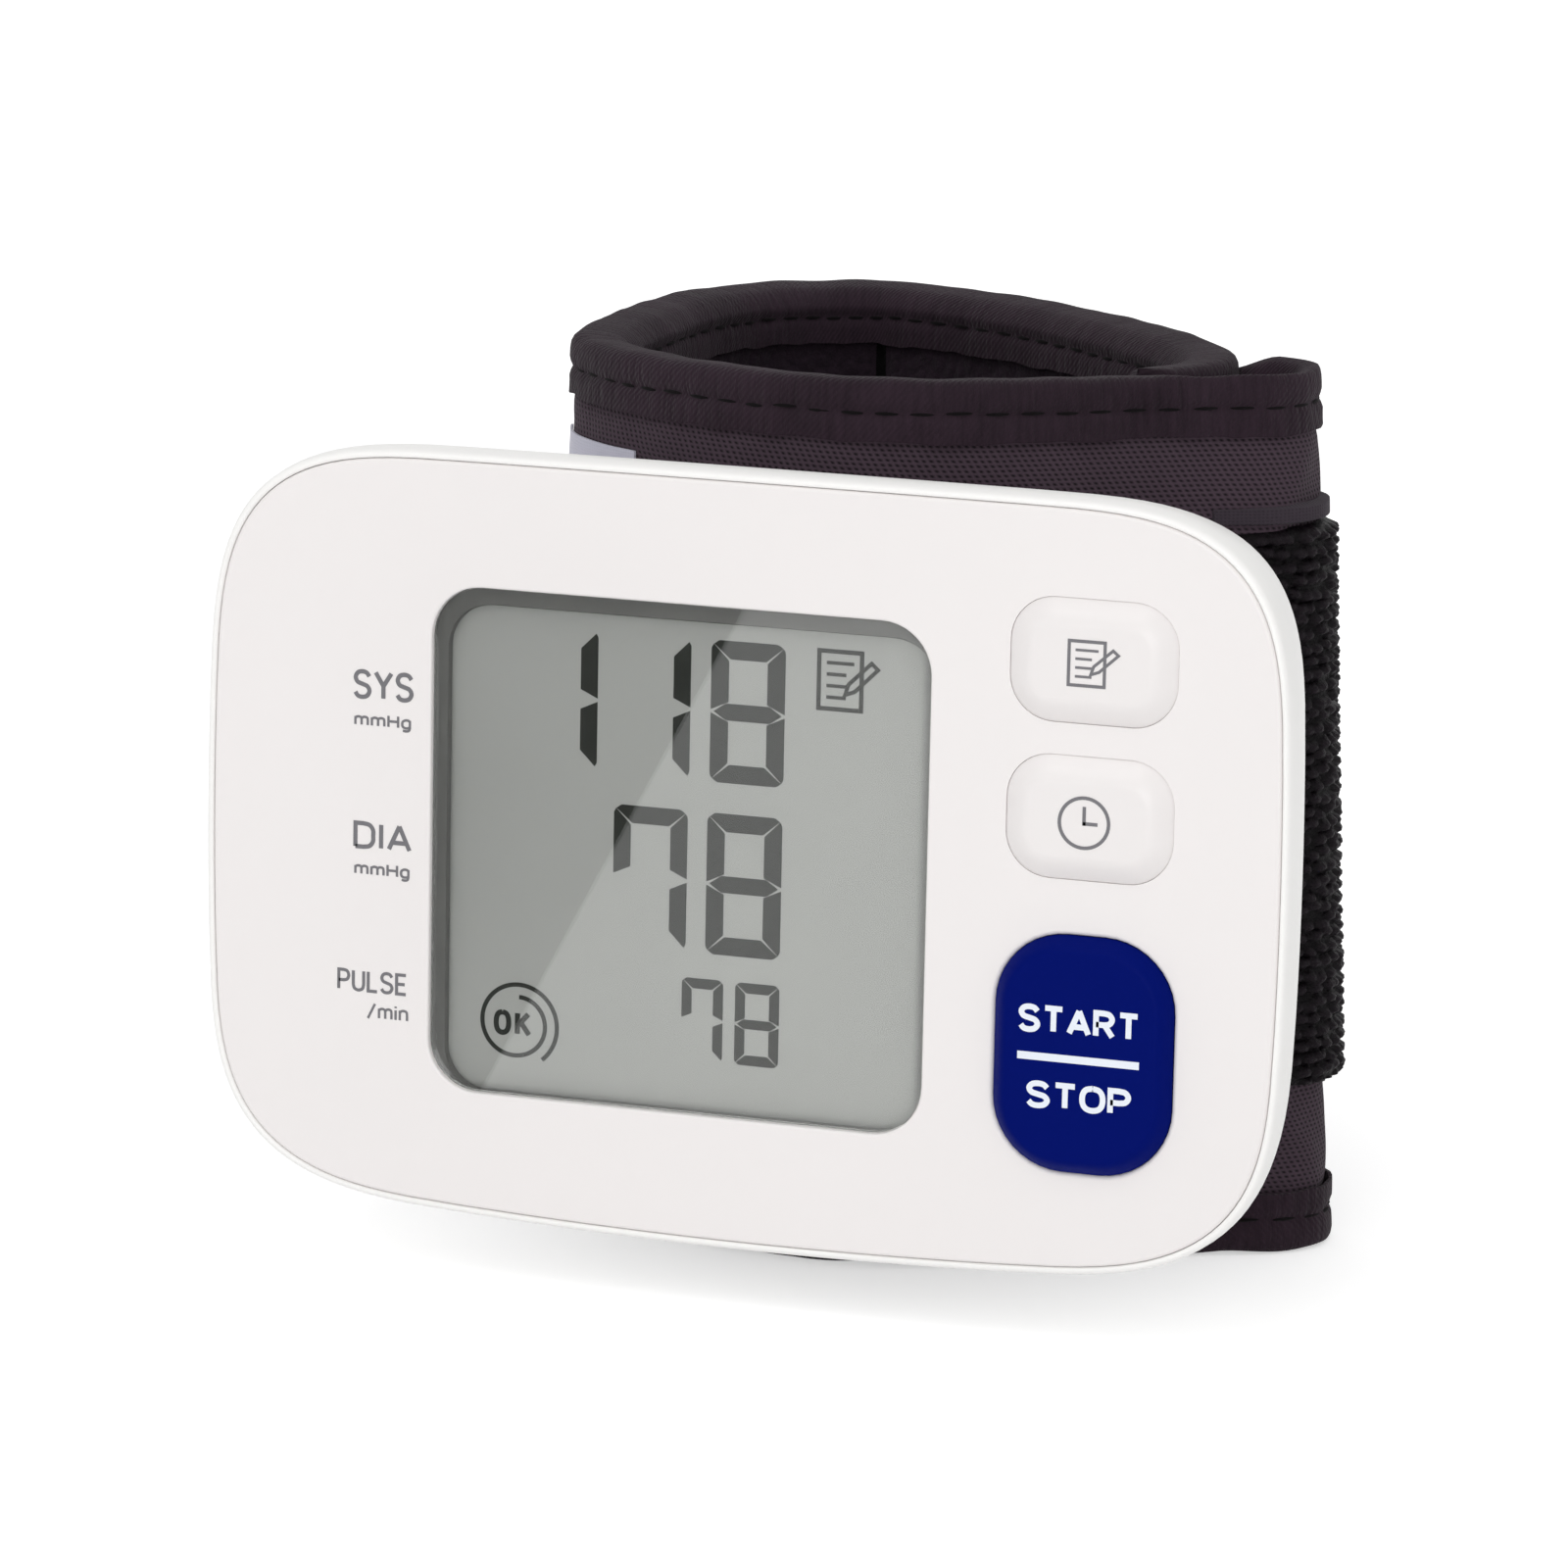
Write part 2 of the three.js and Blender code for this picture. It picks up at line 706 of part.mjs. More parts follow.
// Release valve: a bored can with a sprung plunger
const valveX = pumpX - pumpHeadWidth / 2 - valveRadius * 2;
const valveFoot = -boardHeight / 2 + fitGap;
const valveTop = valveFoot + valveLength;
addPart(
  'valve_body',
  cut(
    barZ(valveRadius, valveX, airY, valveFoot, valveTop, 24),
    barZ(plungerRadius + fitGap, valveX, airY, valveFoot + caseWall, valveTop + overrun),
  ),
  steel, 0.35, 0.9,
);
addPart(
  'valve_plunger',
  join(
    barZ(plungerRadius, valveX, airY, valveFoot + caseWall + fitGap, valveTop + fitGap * 2),
    barZ(
      plungerHeadRadius, valveX, airY,
      valveTop + fitGap, valveTop + fitGap + plungerHeadHeight,
    ),
  ),
  brassYellow, 0.4, 0.8,
);

// Air block on the case's back, whose nozzle feeds the cuff's bladder
const blockBack = shellInnerY - fitGap;
const blockFront = blockBack - manifoldDepth;
const blockLeft = nozzleX - manifoldWidth * 0.54;
const blockRight = blockLeft + manifoldWidth;
const blockTop = nozzleZ + manifoldHeight / 2;
const blockMidY = (blockFront + blockBack) / 2;
const bladderInletY = caseDepth + saddleThickness + curlerU;
addPart(
  'air_manifold',
  cut(
    join(
      block(blockLeft, blockRight, blockFront, blockBack, blockTop - manifoldHeight, blockTop),
      barY(nozzleRadius, nozzleX, nozzleZ, blockMidY, bladderInletY),
      barX(nozzleRadius, blockMidY, nozzleZ, blockRight - fitGap, blockRight + nozzleLength / 2),
      barZ(nozzleRadius, nozzleX, blockMidY, blockTop - fitGap, blockTop + nozzleLength / 2),
    ),
    barY(airBoreRadius, nozzleX, nozzleZ, blockMidY, bladderInletY + overrun, 12),
    barX(airBoreRadius, blockMidY, nozzleZ, nozzleX, blockRight + overrun, 12),
  ),
  0x3c3d40, 0.6,
);

// Pressure sensor on the board, its port facing down to the air block
const sensorX = nozzleX + sensorSize * 0.9;
const sensorZ = boardHeight / 2 - sensorSize;
const sensorY = behindBoard + sensorHeight / 2;
addPart(
  'pressure_sensor',
  join(
    block(
      sensorX - sensorSize / 2, sensorX + sensorSize / 2,
      behindBoard, behindBoard + sensorHeight,
      sensorZ - sensorSize / 2, sensorZ + sensorSize / 2,
    ),
    barZ(
      nozzleRadius, sensorX, sensorY,
      sensorZ - sensorSize / 2 - nozzleLength, sensorZ - sensorSize / 2 + fitGap,
    ),
  ),
  0xe9e6de, 0.5,
);

// Air tubes between the pump, the air block and the sensor
function tubeAlong(points, radius, steps) {
  const curve = new THREE.CatmullRomCurve3(points.map(([x, y, z]) => new THREE.Vector3(x, y, z)));
  const section = new THREE.Shape();
  section.absarc(0, 0, radius, 0, Math.PI * 2);
  return new THREE.ExtrudeGeometry(section, { steps, extrudePath: curve, curveSegments: 4 });
}

const pumpPortZ = headTop + nozzleLength + fitGap;
const blockPortX = blockRight + nozzleLength / 2 + fitGap;
const spanX = pumpX - blockPortX;
const riseZ = pumpPortZ - nozzleZ;
const pumpTube = tubeAlong([
  [pumpX, airY, pumpPortZ],
  [pumpX, airY, pumpPortZ + tubeRadius * 1.6],
  [pumpX - spanX * 0.11, airY + tubeRadius * 0.3, pumpPortZ + tubeRadius * 3.4],
  [pumpX - spanX * 0.28, airY + tubeRadius * 0.6, pumpPortZ + tubeRadius * 3.4],
  [pumpX - spanX * 0.43, blockMidY, pumpPortZ - riseZ * 0.05],
  [pumpX - spanX * 0.52, blockMidY, pumpPortZ - riseZ * 0.5],
  [pumpX - spanX * 0.66, blockMidY, pumpPortZ - riseZ * 0.9],
  [pumpX - spanX * 0.84, blockMidY, nozzleZ],
  [blockPortX, blockMidY, nozzleZ],
], tubeRadius, 26);
addPart('pump_tube', pumpTube, rubberGrey, 0.7);

const sensorPortZ = sensorZ - sensorSize / 2 - nozzleLength - fitGap;
const blockPortZ = blockTop + nozzleLength / 2 + fitGap;
const stepX = sensorX - nozzleX;
const stepY = blockMidY - sensorY;
const stepZ = sensorPortZ - blockPortZ;
const sensorTube = tubeAlong([
  [sensorX, sensorY, sensorPortZ],
  [sensorX, sensorY + stepY * 0.03, sensorPortZ - stepZ * 0.2],
  [sensorX - stepX * 0.2, sensorY + stepY * 0.25, sensorPortZ - stepZ * 0.42],
  [sensorX - stepX * 0.8, sensorY + stepY * 0.75, sensorPortZ - stepZ * 0.58],
  [nozzleX, sensorY + stepY * 0.97, sensorPortZ - stepZ * 0.8],
  [nozzleX, blockMidY, blockPortZ],
], sensorTubeRadius, 14);
addPart('sensor_tube', sensorTube, rubberGrey, 0.7);

// Two cells, head to tail, each between a coil spring and a contact plate
const plateZ = bayHalf - contactPlate - fitGap / 2;
const cellHigh = plateZ - fitGap;
function addCell(name, x, up) {
  const foot = cellHigh - cellLength;
  const can = barZ(cellRadius, x, cellY, foot, cellHigh - cellNubLength, 28);
  const nub = barZ(cellNubRadius, x, cellY, cellHigh - cellNubLength - fitGap, cellHigh);
  const cell = geometryOf(join(can, nub));
  if (up < 0) cell.translate(-x, -cellY, 0).rotateY(Math.PI).translate(x, cellY, 0);
  addPart(name, cell, 0x7b8a3c, 0.4);
}
addCell('cell_1', cell1X, 1);
addCell('cell_2', cell2X, -1);

const plateFront = cellY - contactHalfWidth;
const plateBack = cellY + contactHalfWidth;
addPart(
  'battery_contact_top',
  block(
    cell1X - contactHalfWidth, cell2X + contactHalfWidth, plateFront, plateBack,
    plateZ, plateZ + contactPlate,
  ),
  steel, 0.35, 0.9,
);
[['battery_contact_1', cell1X], ['battery_contact_2', cell2X]].forEach(([name, x]) => {
  addPart(
    name,
    block(
      x - contactHalfWidth, x + contactHalfWidth, plateFront, plateBack,
      -plateZ - contactPlate, -plateZ,
    ),
    steel, 0.35, 0.9,
  );
});

// Conical contact spring: a wire tube wound along a widening helix
class ContactHelix extends THREE.Curve {
  constructor(x, y, z, direction) {
    super();
    Object.assign(this, { x, y, z, direction });
  }

  getPoint(share, target = new THREE.Vector3()) {
    const turn = share * springTurns * Math.PI * 2;
    const radius = springRadius * (1 - springTaperShare * share);
    const rise = springWire + share * (springLength - springWire * 2);
    return target.set(
      this.x + radius * Math.cos(turn),
      this.y + radius * Math.sin(turn),
      this.z + this.direction * rise,
    );
  }
}

function addSpring(name, x, up) {
  const foot = up * (-plateZ + fitGap / 2);
  const helix = new ContactHelix(x, cellY, foot, up);
  const section = new THREE.Shape();
  for (let i = 0; i < 5; i++) {
    const turn = Math.PI * 2 * i / 5;
    const point = [springWire * Math.cos(turn), springWire * Math.sin(turn)];
    if (i === 0) section.moveTo(...point);
    else section.lineTo(...point);
  }
  const steps = Math.round(springTurns * 8);
  const wire = new THREE.ExtrudeGeometry(section, { steps, extrudePath: helix });
  addPart(name, wire, steel, 0.3, 0.9);
}
addSpring('contact_spring_1', cell1X, 1);
addSpring('contact_spring_2', cell2X, -1);

// Least gap from one turn of the wire to the next, measured on points of the helix
function leastTurnGap() {
  const perTurn = 120;
  const count = Math.round(perTurn * springTurns);
  const places = new ContactHelix(0, 0, 0, 1).getPoints(count);
  let least = Infinity;
  for (let i = 0; i < count; i++) {
    for (let j = i + Math.round(perTurn * 0.6); j <= count; j++) {
      least = Math.min(least, places[i].distanceTo(places[j]));
    }
  }
  return least - springWire * 2;
}
console.log('least gap between spring turns, mm:', leastTurnGap().toFixed(2));

// Case screws, from the back, and the two that hold the saddle
function screwBody(x, z, headFront, headBack, tip, slotBack) {
  const shaft = barY(screwRadius, x, z, Math.min(headFront, tip), Math.max(headFront, tip));
  const head = barY(screwHeadRadius, x, z, headFront, headBack);
  const span = slotBack
    ? [headBack - slotDepth, headBack + overrun]
    : [headFront - overrun, headFront + slotDepth];
  const slots = [
    block(x - slotWidth, x + slotWidth, ...span, z - screwHeadRadius, z + screwHeadRadius),
    block(x - screwHeadRadius, x + screwHeadRadius, ...span, z - slotWidth, z + slotWidth),
  ].map((slot) => slot.intersect(barY(screwHeadRadius * 0.6, x, z, ...span)));
  return cut(join(head, shaft), ...slots);
}

bossPlaces.forEach(([x, z], i) => {
  const tip = facePlate + fitGap * 4;
  addPart(`case_screw_${i + 1}`, screwBody(x, z, screwSeat, screwHeadBack, tip, true), steel, 0.3, 0.9);
});

// The cuff's band: one smooth plan curve, flared towards the bottom
const bandCurve = new THREE.CatmullRomCurve3(
  bandShares.map(([sx, sy]) => new THREE.Vector3(sx * ringHalfWidth, sy * ringHalfDepth, 0)),
  false, 'centripetal',
);
bandCurve.arcLengthDivisions = 40 * (bandShares.length - 1);
const bandLength = bandCurve.getLength();
const backHingeAt = bandLength * backHingeShare;
const tailHingeAt = bandLength * tailHingeShare;

// A place on the band: distance along its plan, depth inwards and height
function bandPoint(along, inward, z) {
  const share = along / bandLength;
  const place = bandCurve.getPointAt(share);
  const run = bandCurve.getTangentAt(share);
  const drop = (cuffTop - z) / cuffHeight;
  const flare = 1 + cuffFlareShare * drop;
  const toRight = Math.max(0, place.x / ringHalfWidth);
  const x = place.x < 0 ? place.x * flare : place.x + cuffSpreadWidth * drop * toRight ** 2;
  return new THREE.Vector3(
    ringX + x - run.y * inward,
    ringY + place.y * flare + run.x * inward,
    z,
  );
}

// A closed outline in depth and height, carried along a stretch of the band
function bandBody(from, to, outline, steps) {
  const count = outline.length;
  const points = [];
  for (let i = 0; i <= steps; i++) {
    const along = from + (to - from) * i / steps;
    outline.forEach(([u, z]) => points.push(bandPoint(along, u, z)));
  }
  const triangles = [];
  for (let i = 0; i < steps; i++) {
    for (let j = 0; j < count; j++) {
      const a = i * count + j;
      const b = i * count + (j + 1) % count;
      triangles.push([a, a + count, b], [b, a + count, b + count]);
    }
  }
  const flat = outline.map(([u, z]) => new THREE.Vector2(u, z));
  const turned = THREE.ShapeUtils.isClockWise(flat);
  const caps = THREE.ShapeUtils.triangulateShape(turned ? [...flat].reverse() : flat, []);
  const last = steps * count;
  for (const face of caps) {
    const [a, b, c] = turned ? face.map((n) => count - 1 - n).reverse() : face;
    triangles.push([a, b, c], [last + c, last + b, last + a]);
  }
  return bodyOf(points, triangles);
}

function sheetOutline(u0, u1, z0, z1, crown = 0) {
  const levels = crown ? [0, 0.1, 0.5, 0.9, 1] : [0, 1];
  const outer = levels.map((w) => [u0 + crown * Math.abs(2 * w - 1) ** 3, z0 + (z1 - z0) * w]);
  const inner = levels.map((w) => [u1, z0 + (z1 - z0) * w]).reverse();
  return [...outer, ...inner];
}

function bindingOutline(edge, direction, depth) {
  const leg = edge + direction * bindingHeight;
  const web = edge + direction * bindingThickness;
  return [
    [0, edge], [0, leg], [bindingThickness, leg], [bindingThickness, web],
    [depth - bindingThickness, web], [depth - bindingThickness, leg], [depth, leg], [depth, edge],
  ];
}

const tailDepth = coverU + tailThickness + fitGap + bindingThickness;
const sections = [
  { name: 'back', from: 0, to: backHingeAt - bandGap / 2, depth: bandThickness, steps: 38 },
  {
    name: 'front', from: backHingeAt + bandGap / 2, to: tailHingeAt - bandGap / 2,
    depth: bandThickness, steps: 20,
  },
  { name: 'tail', from: tailHingeAt + bandGap / 2, to: bandLength, depth: tailDepth, steps: 18 },
];

const nozzleHole = barY(
  nozzleRadius + fitGap, nozzleX, nozzleZ, caseDepth, bladderInletY + overrun,
);

for (const { name, from, to, depth, steps } of sections) {
  const tail = name === 'tail';
  const coverDepth = coverU + (tail ? tailThickness : coverThickness);
  const cover = bandBody(
    from, to, sheetOutline(coverU, coverDepth, layerBottom, layerTop, coverCrown), steps,
  );
  const wall = name === 'front' ? solidOf(cover).subtract(nozzleHole) : cover;
  addPart(`cuff_cover_${name}`, wall, twillBlack, 0.9);
  for (const [edgeName, edge, direction] of [['top', cuffTop, -1], ['bottom', cuffBottom, 1]]) {
    const binding = bandBody(from, to, bindingOutline(edge, direction, depth), steps);
    addPart(`binding_${edgeName}_${name}`, binding, tapeBlack, 0.9);
  }
  if (tail) continue;
  const layers = [
    [`curler_${name}`, curlerU, curlerThickness, 0xd9dcde, 0.5],
    [`bladder_${name}`, bladderU, bladderThickness, rubberGrey, 0.7],
    [`cuff_lining_${name}`, liningU, liningThickness, pileBlack, 0.95],
  ];
  for (const [layer, u, thickness, color, roughness] of layers) {
    const sheet = bandBody(
      from, to, sheetOutline(u, u + thickness, layerBottom, layerTop), Math.round(steps * 0.8),
    );
    const needsHole = layer === 'curler_front';
    addPart(layer, needsHole ? solidOf(sheet).subtract(nozzleHole) : sheet, color, roughness);
  }
}

// Loop-pile pad and its smooth selvedge on the outside of the tail
const padTop = cuffTop - padDrop;
const padFrom = tailHingeAt + (bandLength - tailHingeAt) * 0.17;
const padTo = bandLength - fitGap;
addPart(
  'loop_pad',
  bandBody(
    padFrom, padTo,
    sheetOutline(coverU - fitGap - padThickness, coverU - fitGap, padTop - padHeight, padTop),
    20,
  ),
  pileBlack, 1,
);
addPart(
  'pad_selvedge',
  bandBody(
    padFrom, padTo,
    sheetOutline(
      coverU - fitGap - selvedgeThickness, coverU - fitGap,
      padTop + fitGap, padTop + fitGap + selvedgeHeight,
    ),
    20,
  ),
  tapeBlack, 0.85,
);

// Plain sewn label on the left of the front
const labelTop = cuffTop - labelDrop;
const labelFrom = backHingeAt + bandGap + fitGap * 2;
addPart(
  'sewn_label',
  bandBody(
    labelFrom, labelFrom + labelWidth,
    sheetOutline(
      coverU - fitGap - labelThickness, coverU - fitGap, labelTop - labelHeight, labelTop,
    ),
    6,
  ),
  labelGrey, 0.8,
);

// Saddle: flat against the case, hollowed to the cuff, one column of points per station
function makeSaddle() {
  const steps = 14;
  const half = saddleHeight / 2;
  const flat = caseDepth + fitGap;
  const stations = [];
  for (let n = 0; n <= 400; n++) {
    const along = backHingeAt + (tailHingeAt - backHingeAt) * n / 400;
    stations.push({ along, x: bandPoint(along, 0, 0).x });
  }
  const rings = [];
  for (let i = 0; i <= steps; i++) {
    const wanted = saddleX + saddleWidth * (i / steps - 0.5);
    const best = stations.reduce((a, b) => (
      Math.abs(b.x - wanted) < Math.abs(a.x - wanted) ? b : a
    ));
    const low = bandPoint(best.along, coverU - fitGap, -half);
    const high = bandPoint(best.along, coverU - fitGap, half);
    rings.push([
      new THREE.Vector3(low.x, flat, -half), new THREE.Vector3(high.x, flat, half), high, low,
    ]);
  }
  const holes = [
    ...saddleScrews.map(([x, z]) => barY(screwRadius + fitGap, x, z, caseDepth, caseDepth * 2)),
    barY(nozzleRadius + fitGap, nozzleX, nozzleZ, caseDepth, caseDepth * 2),
  ];
  return cut(loft(rings), ...holes);
}
addPart('cuff_saddle', makeSaddle(), 0xe9e7e2, 0.5);

saddleScrews.forEach(([x, z], i) => {
  const headBack = shellInnerY - fitGap;
  const tip = caseDepth + saddleThickness + fitGap;
  addPart(
    `saddle_screw_${i + 1}`,
    screwBody(x, z, headBack - screwHeadHeight, headBack, tip, false),
    steel, 0.3, 0.9,
  );
});

// The origin is under the middle of the whole part, on the surface that it stands on
const extent = new THREE.Box3().setFromObject(assembly);
const middle = extent.getCenter(new THREE.Vector3());
assembly.position.set(-middle.x, -middle.y, -extent.min.z);
const group = new THREE.Group();
group.add(assembly);

export default group;
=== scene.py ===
import json
import math

import bmesh
import bpy
import numpy as np
from bpy.props import FloatProperty, FloatVectorProperty, PointerProperty
from mathutils import Matrix, Vector, noise

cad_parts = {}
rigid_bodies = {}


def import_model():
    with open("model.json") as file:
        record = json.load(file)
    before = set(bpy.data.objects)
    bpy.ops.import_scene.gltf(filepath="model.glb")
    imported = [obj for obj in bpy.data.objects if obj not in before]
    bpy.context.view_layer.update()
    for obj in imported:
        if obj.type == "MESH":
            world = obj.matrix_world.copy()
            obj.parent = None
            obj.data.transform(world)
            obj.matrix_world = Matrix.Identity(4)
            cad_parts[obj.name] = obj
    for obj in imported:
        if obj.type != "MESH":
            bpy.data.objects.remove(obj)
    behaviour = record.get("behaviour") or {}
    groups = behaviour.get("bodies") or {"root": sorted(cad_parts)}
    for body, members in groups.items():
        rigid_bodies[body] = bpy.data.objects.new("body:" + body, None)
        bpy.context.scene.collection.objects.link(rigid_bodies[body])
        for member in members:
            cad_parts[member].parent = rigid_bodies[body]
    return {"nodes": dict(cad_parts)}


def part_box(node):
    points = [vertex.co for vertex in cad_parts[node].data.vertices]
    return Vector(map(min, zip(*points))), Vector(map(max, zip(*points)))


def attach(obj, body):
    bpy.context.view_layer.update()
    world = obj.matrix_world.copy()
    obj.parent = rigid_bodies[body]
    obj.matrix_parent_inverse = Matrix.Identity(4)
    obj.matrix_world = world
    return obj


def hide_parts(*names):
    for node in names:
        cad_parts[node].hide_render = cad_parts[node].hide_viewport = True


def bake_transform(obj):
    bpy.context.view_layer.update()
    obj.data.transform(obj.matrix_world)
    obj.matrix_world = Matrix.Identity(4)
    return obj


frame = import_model()

bl_info = {
    "name": "Wrist Blood Pressure Monitor",
    "version": (1, 0, 0),
    "blender": (4, 5, 0),
    "location": "View3D > Sidebar > Wrist Monitor",
    "description": "Case, window, keys and sewn wrist cuff of a blood pressure monitor",
    "category": "Object",
}

MM = 0.001
FACE_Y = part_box("front_case")[0].y
MID_Z = (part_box("window_lens")[0].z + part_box("window_lens")[1].z) / 2


def linear(hex_colour):
    """A colour written as sRGB hex, in the linear values that shaders take."""
    digits = hex_colour.lstrip("#")
    parts = [int(digits[i:i + 2], 16) / 255 for i in (0, 2, 4)]
    return tuple(c / 12.92 if c <= 0.04045 else ((c + 0.055) / 1.055) ** 2.4 for c in parts)


def length_setting(name, description, default_mm):
    return FloatProperty(
        name=name, description=description, default=default_mm * MM,
        min=0.0, unit="LENGTH", subtype="DISTANCE", precision=5,
    )


def colour_setting(name, description, default_hex):
    return FloatVectorProperty(
        name=name, description=description, default=linear(default_hex),
        size=3, min=0.0, max=1.0, subtype="COLOR",
    )


class CaseSettings(bpy.types.PropertyGroup):
    mouth_round: length_setting("Window edge", "Round edge of the window opening", 0.22)
    key_gap: length_setting("Key gap", "Gap from a key to the edge of its opening", 0.03)
    key_mouth: length_setting("Key opening edge", "Round edge of a key's opening", 0.03)
    start_mouth: length_setting("Start opening edge", "Round edge of the start key's opening", 0.4)
    key_rise: length_setting("Key rise", "How far a key stands out of the face", 1.1)
    key_edge: length_setting("Key soft edge", "Width of a key's rounded edge", 2.2)
    print_rise: length_setting("Print", "Thickness of the printed ink", 0.02)
    case_colour: colour_setting("Face", "Moulded off-white plastic of the face", "#f1edec")
    shell_colour: colour_setting("Shell", "White plastic of the shell and its rim", "#fbfaf8")
    key_colour: colour_setting("Small keys", "White plastic of the two small keys", "#efebea")
    start_colour: colour_setting("Start key", "Deep blue plastic of the start key", "#001068")
    ink_colour: colour_setting("Face print", "Grey ink of the words on the face", "#77767a")
    key_ink_colour: colour_setting("Start print", "Pale ink on the start key", "#f0f6ff")


class WindowSettings(bpy.types.PropertyGroup):
    lens_edge: length_setting("Lens edge", "Polished edge round the clear window", 0.06)
    segment_rise: length_setting("Segments", "Thickness of a dark display segment", 0.02)
    panel_colour: colour_setting("Display", "Reflecting back of the display", "#a0a19e")
    segment_colour: colour_setting("Segments", "Dark display segments", "#2b2d2a")


class CuffSettings(bpy.types.PropertyGroup):
    stitch_length: length_setting("Stitch", "Length of one stitch", 2.0)
    stitch_gap: length_setting("Stitch gap", "Gap between two stitches", 0.9)
    thread_width: length_setting("Thread", "Thickness of the sewing thread", 0.3)
    hem_width: length_setting("Hem", "Width of the tape folded over the cuff's edges", 5.0)
    pucker: length_setting("Pucker", "Depth of the waves along the sewn edges", 0.34)
    loop_height: length_setting("Loop pile", "Height of the loops on the fastening pad", 0.7)
    twill_colour: colour_setting("Twill", "Outer cloth of the cuff", "#3e333b")
    tape_colour: colour_setting("Tape", "Tape sewn over the edges", "#2c2129")
    fleece_colour: colour_setting("Lining", "Brushed cloth inside the cuff", "#1e161d")
    pile_colour: colour_setting("Loop pad", "Loop pile of the fastening pad", "#140d13")
    label_colour: colour_setting("Label", "Sewn label", "#c0bfcd")


class StageSettings(bpy.types.PropertyGroup):
    floor_colour: colour_setting("Floor", "Plain pale floor", "#f8f8f8")
    sky_strength: FloatProperty(
        name="Soft light", description="Even light from all sides", default=0.66, min=0.0,
    )
    key_power: FloatProperty(
        name="Main lamp", description="Large lamp above and in front", default=1.7, min=0.0,
        unit="POWER",
    )
    front_power: FloatProperty(
        name="Front lamp", description="Low soft lamp in front", default=2.6, min=0.0,
        unit="POWER",
    )


# Modelling helpers

def at(x, y, z):
    """A point given in millimetres from the middle of the face: right, back and up."""
    return Vector((x * MM, FACE_Y + y * MM, MID_Z + z * MM))


def pick(piece):
    """Makes a piece the only one selected, and the active one."""
    bpy.ops.object.select_all(action="DESELECT")
    piece.select_set(True)
    bpy.context.view_layer.objects.active = piece
    return piece


def add_shape(name, add, **settings):
    """Adds one of Blender's basic shapes by its operator, alone selected, and names it."""
    bpy.ops.object.select_all(action="DESELECT")
    add(**settings)
    piece = bpy.context.active_object
    piece.name = piece.data.name = name
    return piece


def edit_all(piece):
    """Opens a piece in edit mode with all of it selected."""
    pick(piece)
    bpy.ops.object.mode_set(mode="EDIT")
    bpy.ops.mesh.select_all(action="SELECT")


def leave_edit():
    bpy.ops.object.mode_set(mode="OBJECT")


def lay_grid(name, rows, closed=False, caps=False, uvs=None):
    """A grid whose vertices are put on rows of points. A closed one joins its last column to its
    first, caps fill its open ends, and uvs are flat places in millimetres for a woven pattern."""
    piece = add_shape(
        name, bpy.ops.mesh.primitive_grid_add, size=1,
        x_subdivisions=len(rows[0]) - (not closed), y_subdivisions=len(rows) - 1,
    )
    points = [p for row in rows for p in (list(row) + list(row[:1]) if closed else row)]
    piece.data.vertices.foreach_set("co", [c for p in points for c in p])
    if uvs is not None:
        flat = [uv for row in uvs for uv in row]
        layer = piece.data.uv_layers[0]
        layer.name = "cloth"
        for loop in piece.data.loops:
            layer.data[loop.index].uv = flat[loop.vertex_index]
    edit_all(piece)
    bpy.ops.mesh.remove_doubles(threshold=1e-6)
    if caps:
        bpy.ops.mesh.fill_holes(sides=0)
    bpy.ops.mesh.select_all(action="SELECT")
    bpy.ops.mesh.normals_make_consistent(inside=False)
    leave_edit()
    return piece


def use_modifier(piece, kind, **settings):
    """Adds a modifier with its settings and applies it."""
    pick(piece)
    modifier = piece.modifiers.new(kind.title(), kind)
    for key, value in settings.items():
        setattr(modifier, key, value)
    bpy.ops.object.modifier_apply(modifier=modifier.name)
    return piece


def carve(piece, *tools, operation="DIFFERENCE"):
    """Cuts, joins or intersects a piece with other solids, which are used up."""
    for tool in tools:
        use_modifier(piece, "BOOLEAN", operation=operation, solver="EXACT", object=tool)
        bpy.data.objects.remove(tool)
    return piece


def block(x0, x1, y0, y1, z0, z1):
    """A cutting block between two corners, in millimetres from the middle of the face."""
    low, high = at(x0, y0, z0), at(x1, y1, z1)
    piece = add_shape(
        "block", bpy.ops.mesh.primitive_cube_add, size=1, location=(low + high) / 2,
        scale=high - low,
    )
    bpy.ops.object.transform_apply()
    return piece


def rods(radius, places, y0, y1):
    """Round rods along the case's depth, as one object."""
    pieces = [
        add_shape(
            "rod", bpy.ops.mesh.primitive_cylinder_add, vertices=40, radius=radius * MM,
            depth=(y1 - y0) * MM, location=at(x, (y0 + y1) / 2, z), rotation=(math.pi / 2, 0, 0),
        ) for x, z in places
    ]
    for piece in pieces:
        pick(piece)
        bpy.ops.object.transform_apply()
    return joined(*pieces)


def joined(*pieces):
    """Several meshes as one object."""
    bpy.ops.object.select_all(action="DESELECT")
    for piece in pieces:
        piece.select_set(True)
    bpy.context.view_layer.objects.active = pieces[0]
    bpy.ops.object.join()
    return bpy.context.active_object


def soften(piece, degrees):
    pick(piece)
    bpy.ops.object.shade_smooth_by_angle(angle=math.radians(degrees))
    return piece


def dress(piece, name, finish, slot, body=None, replaced=(), angle=35, flat=False):
    """Names a finished piece, gives it its material and puts it on the part that carries it.
    A flat one keeps its large faces level where they run into rounded edges."""
    piece.name = piece.data.name = name
    piece.data.materials.clear()
    piece.data.materials.append(MATERIALS[finish])
    soften(piece, angle)
    if flat:
        use_modifier(piece, "WEIGHTED_NORMAL", keep_sharp=True, weight=80)
    if replaced:
        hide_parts(*replaced)
    if body:
        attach(piece, body)
    return piece


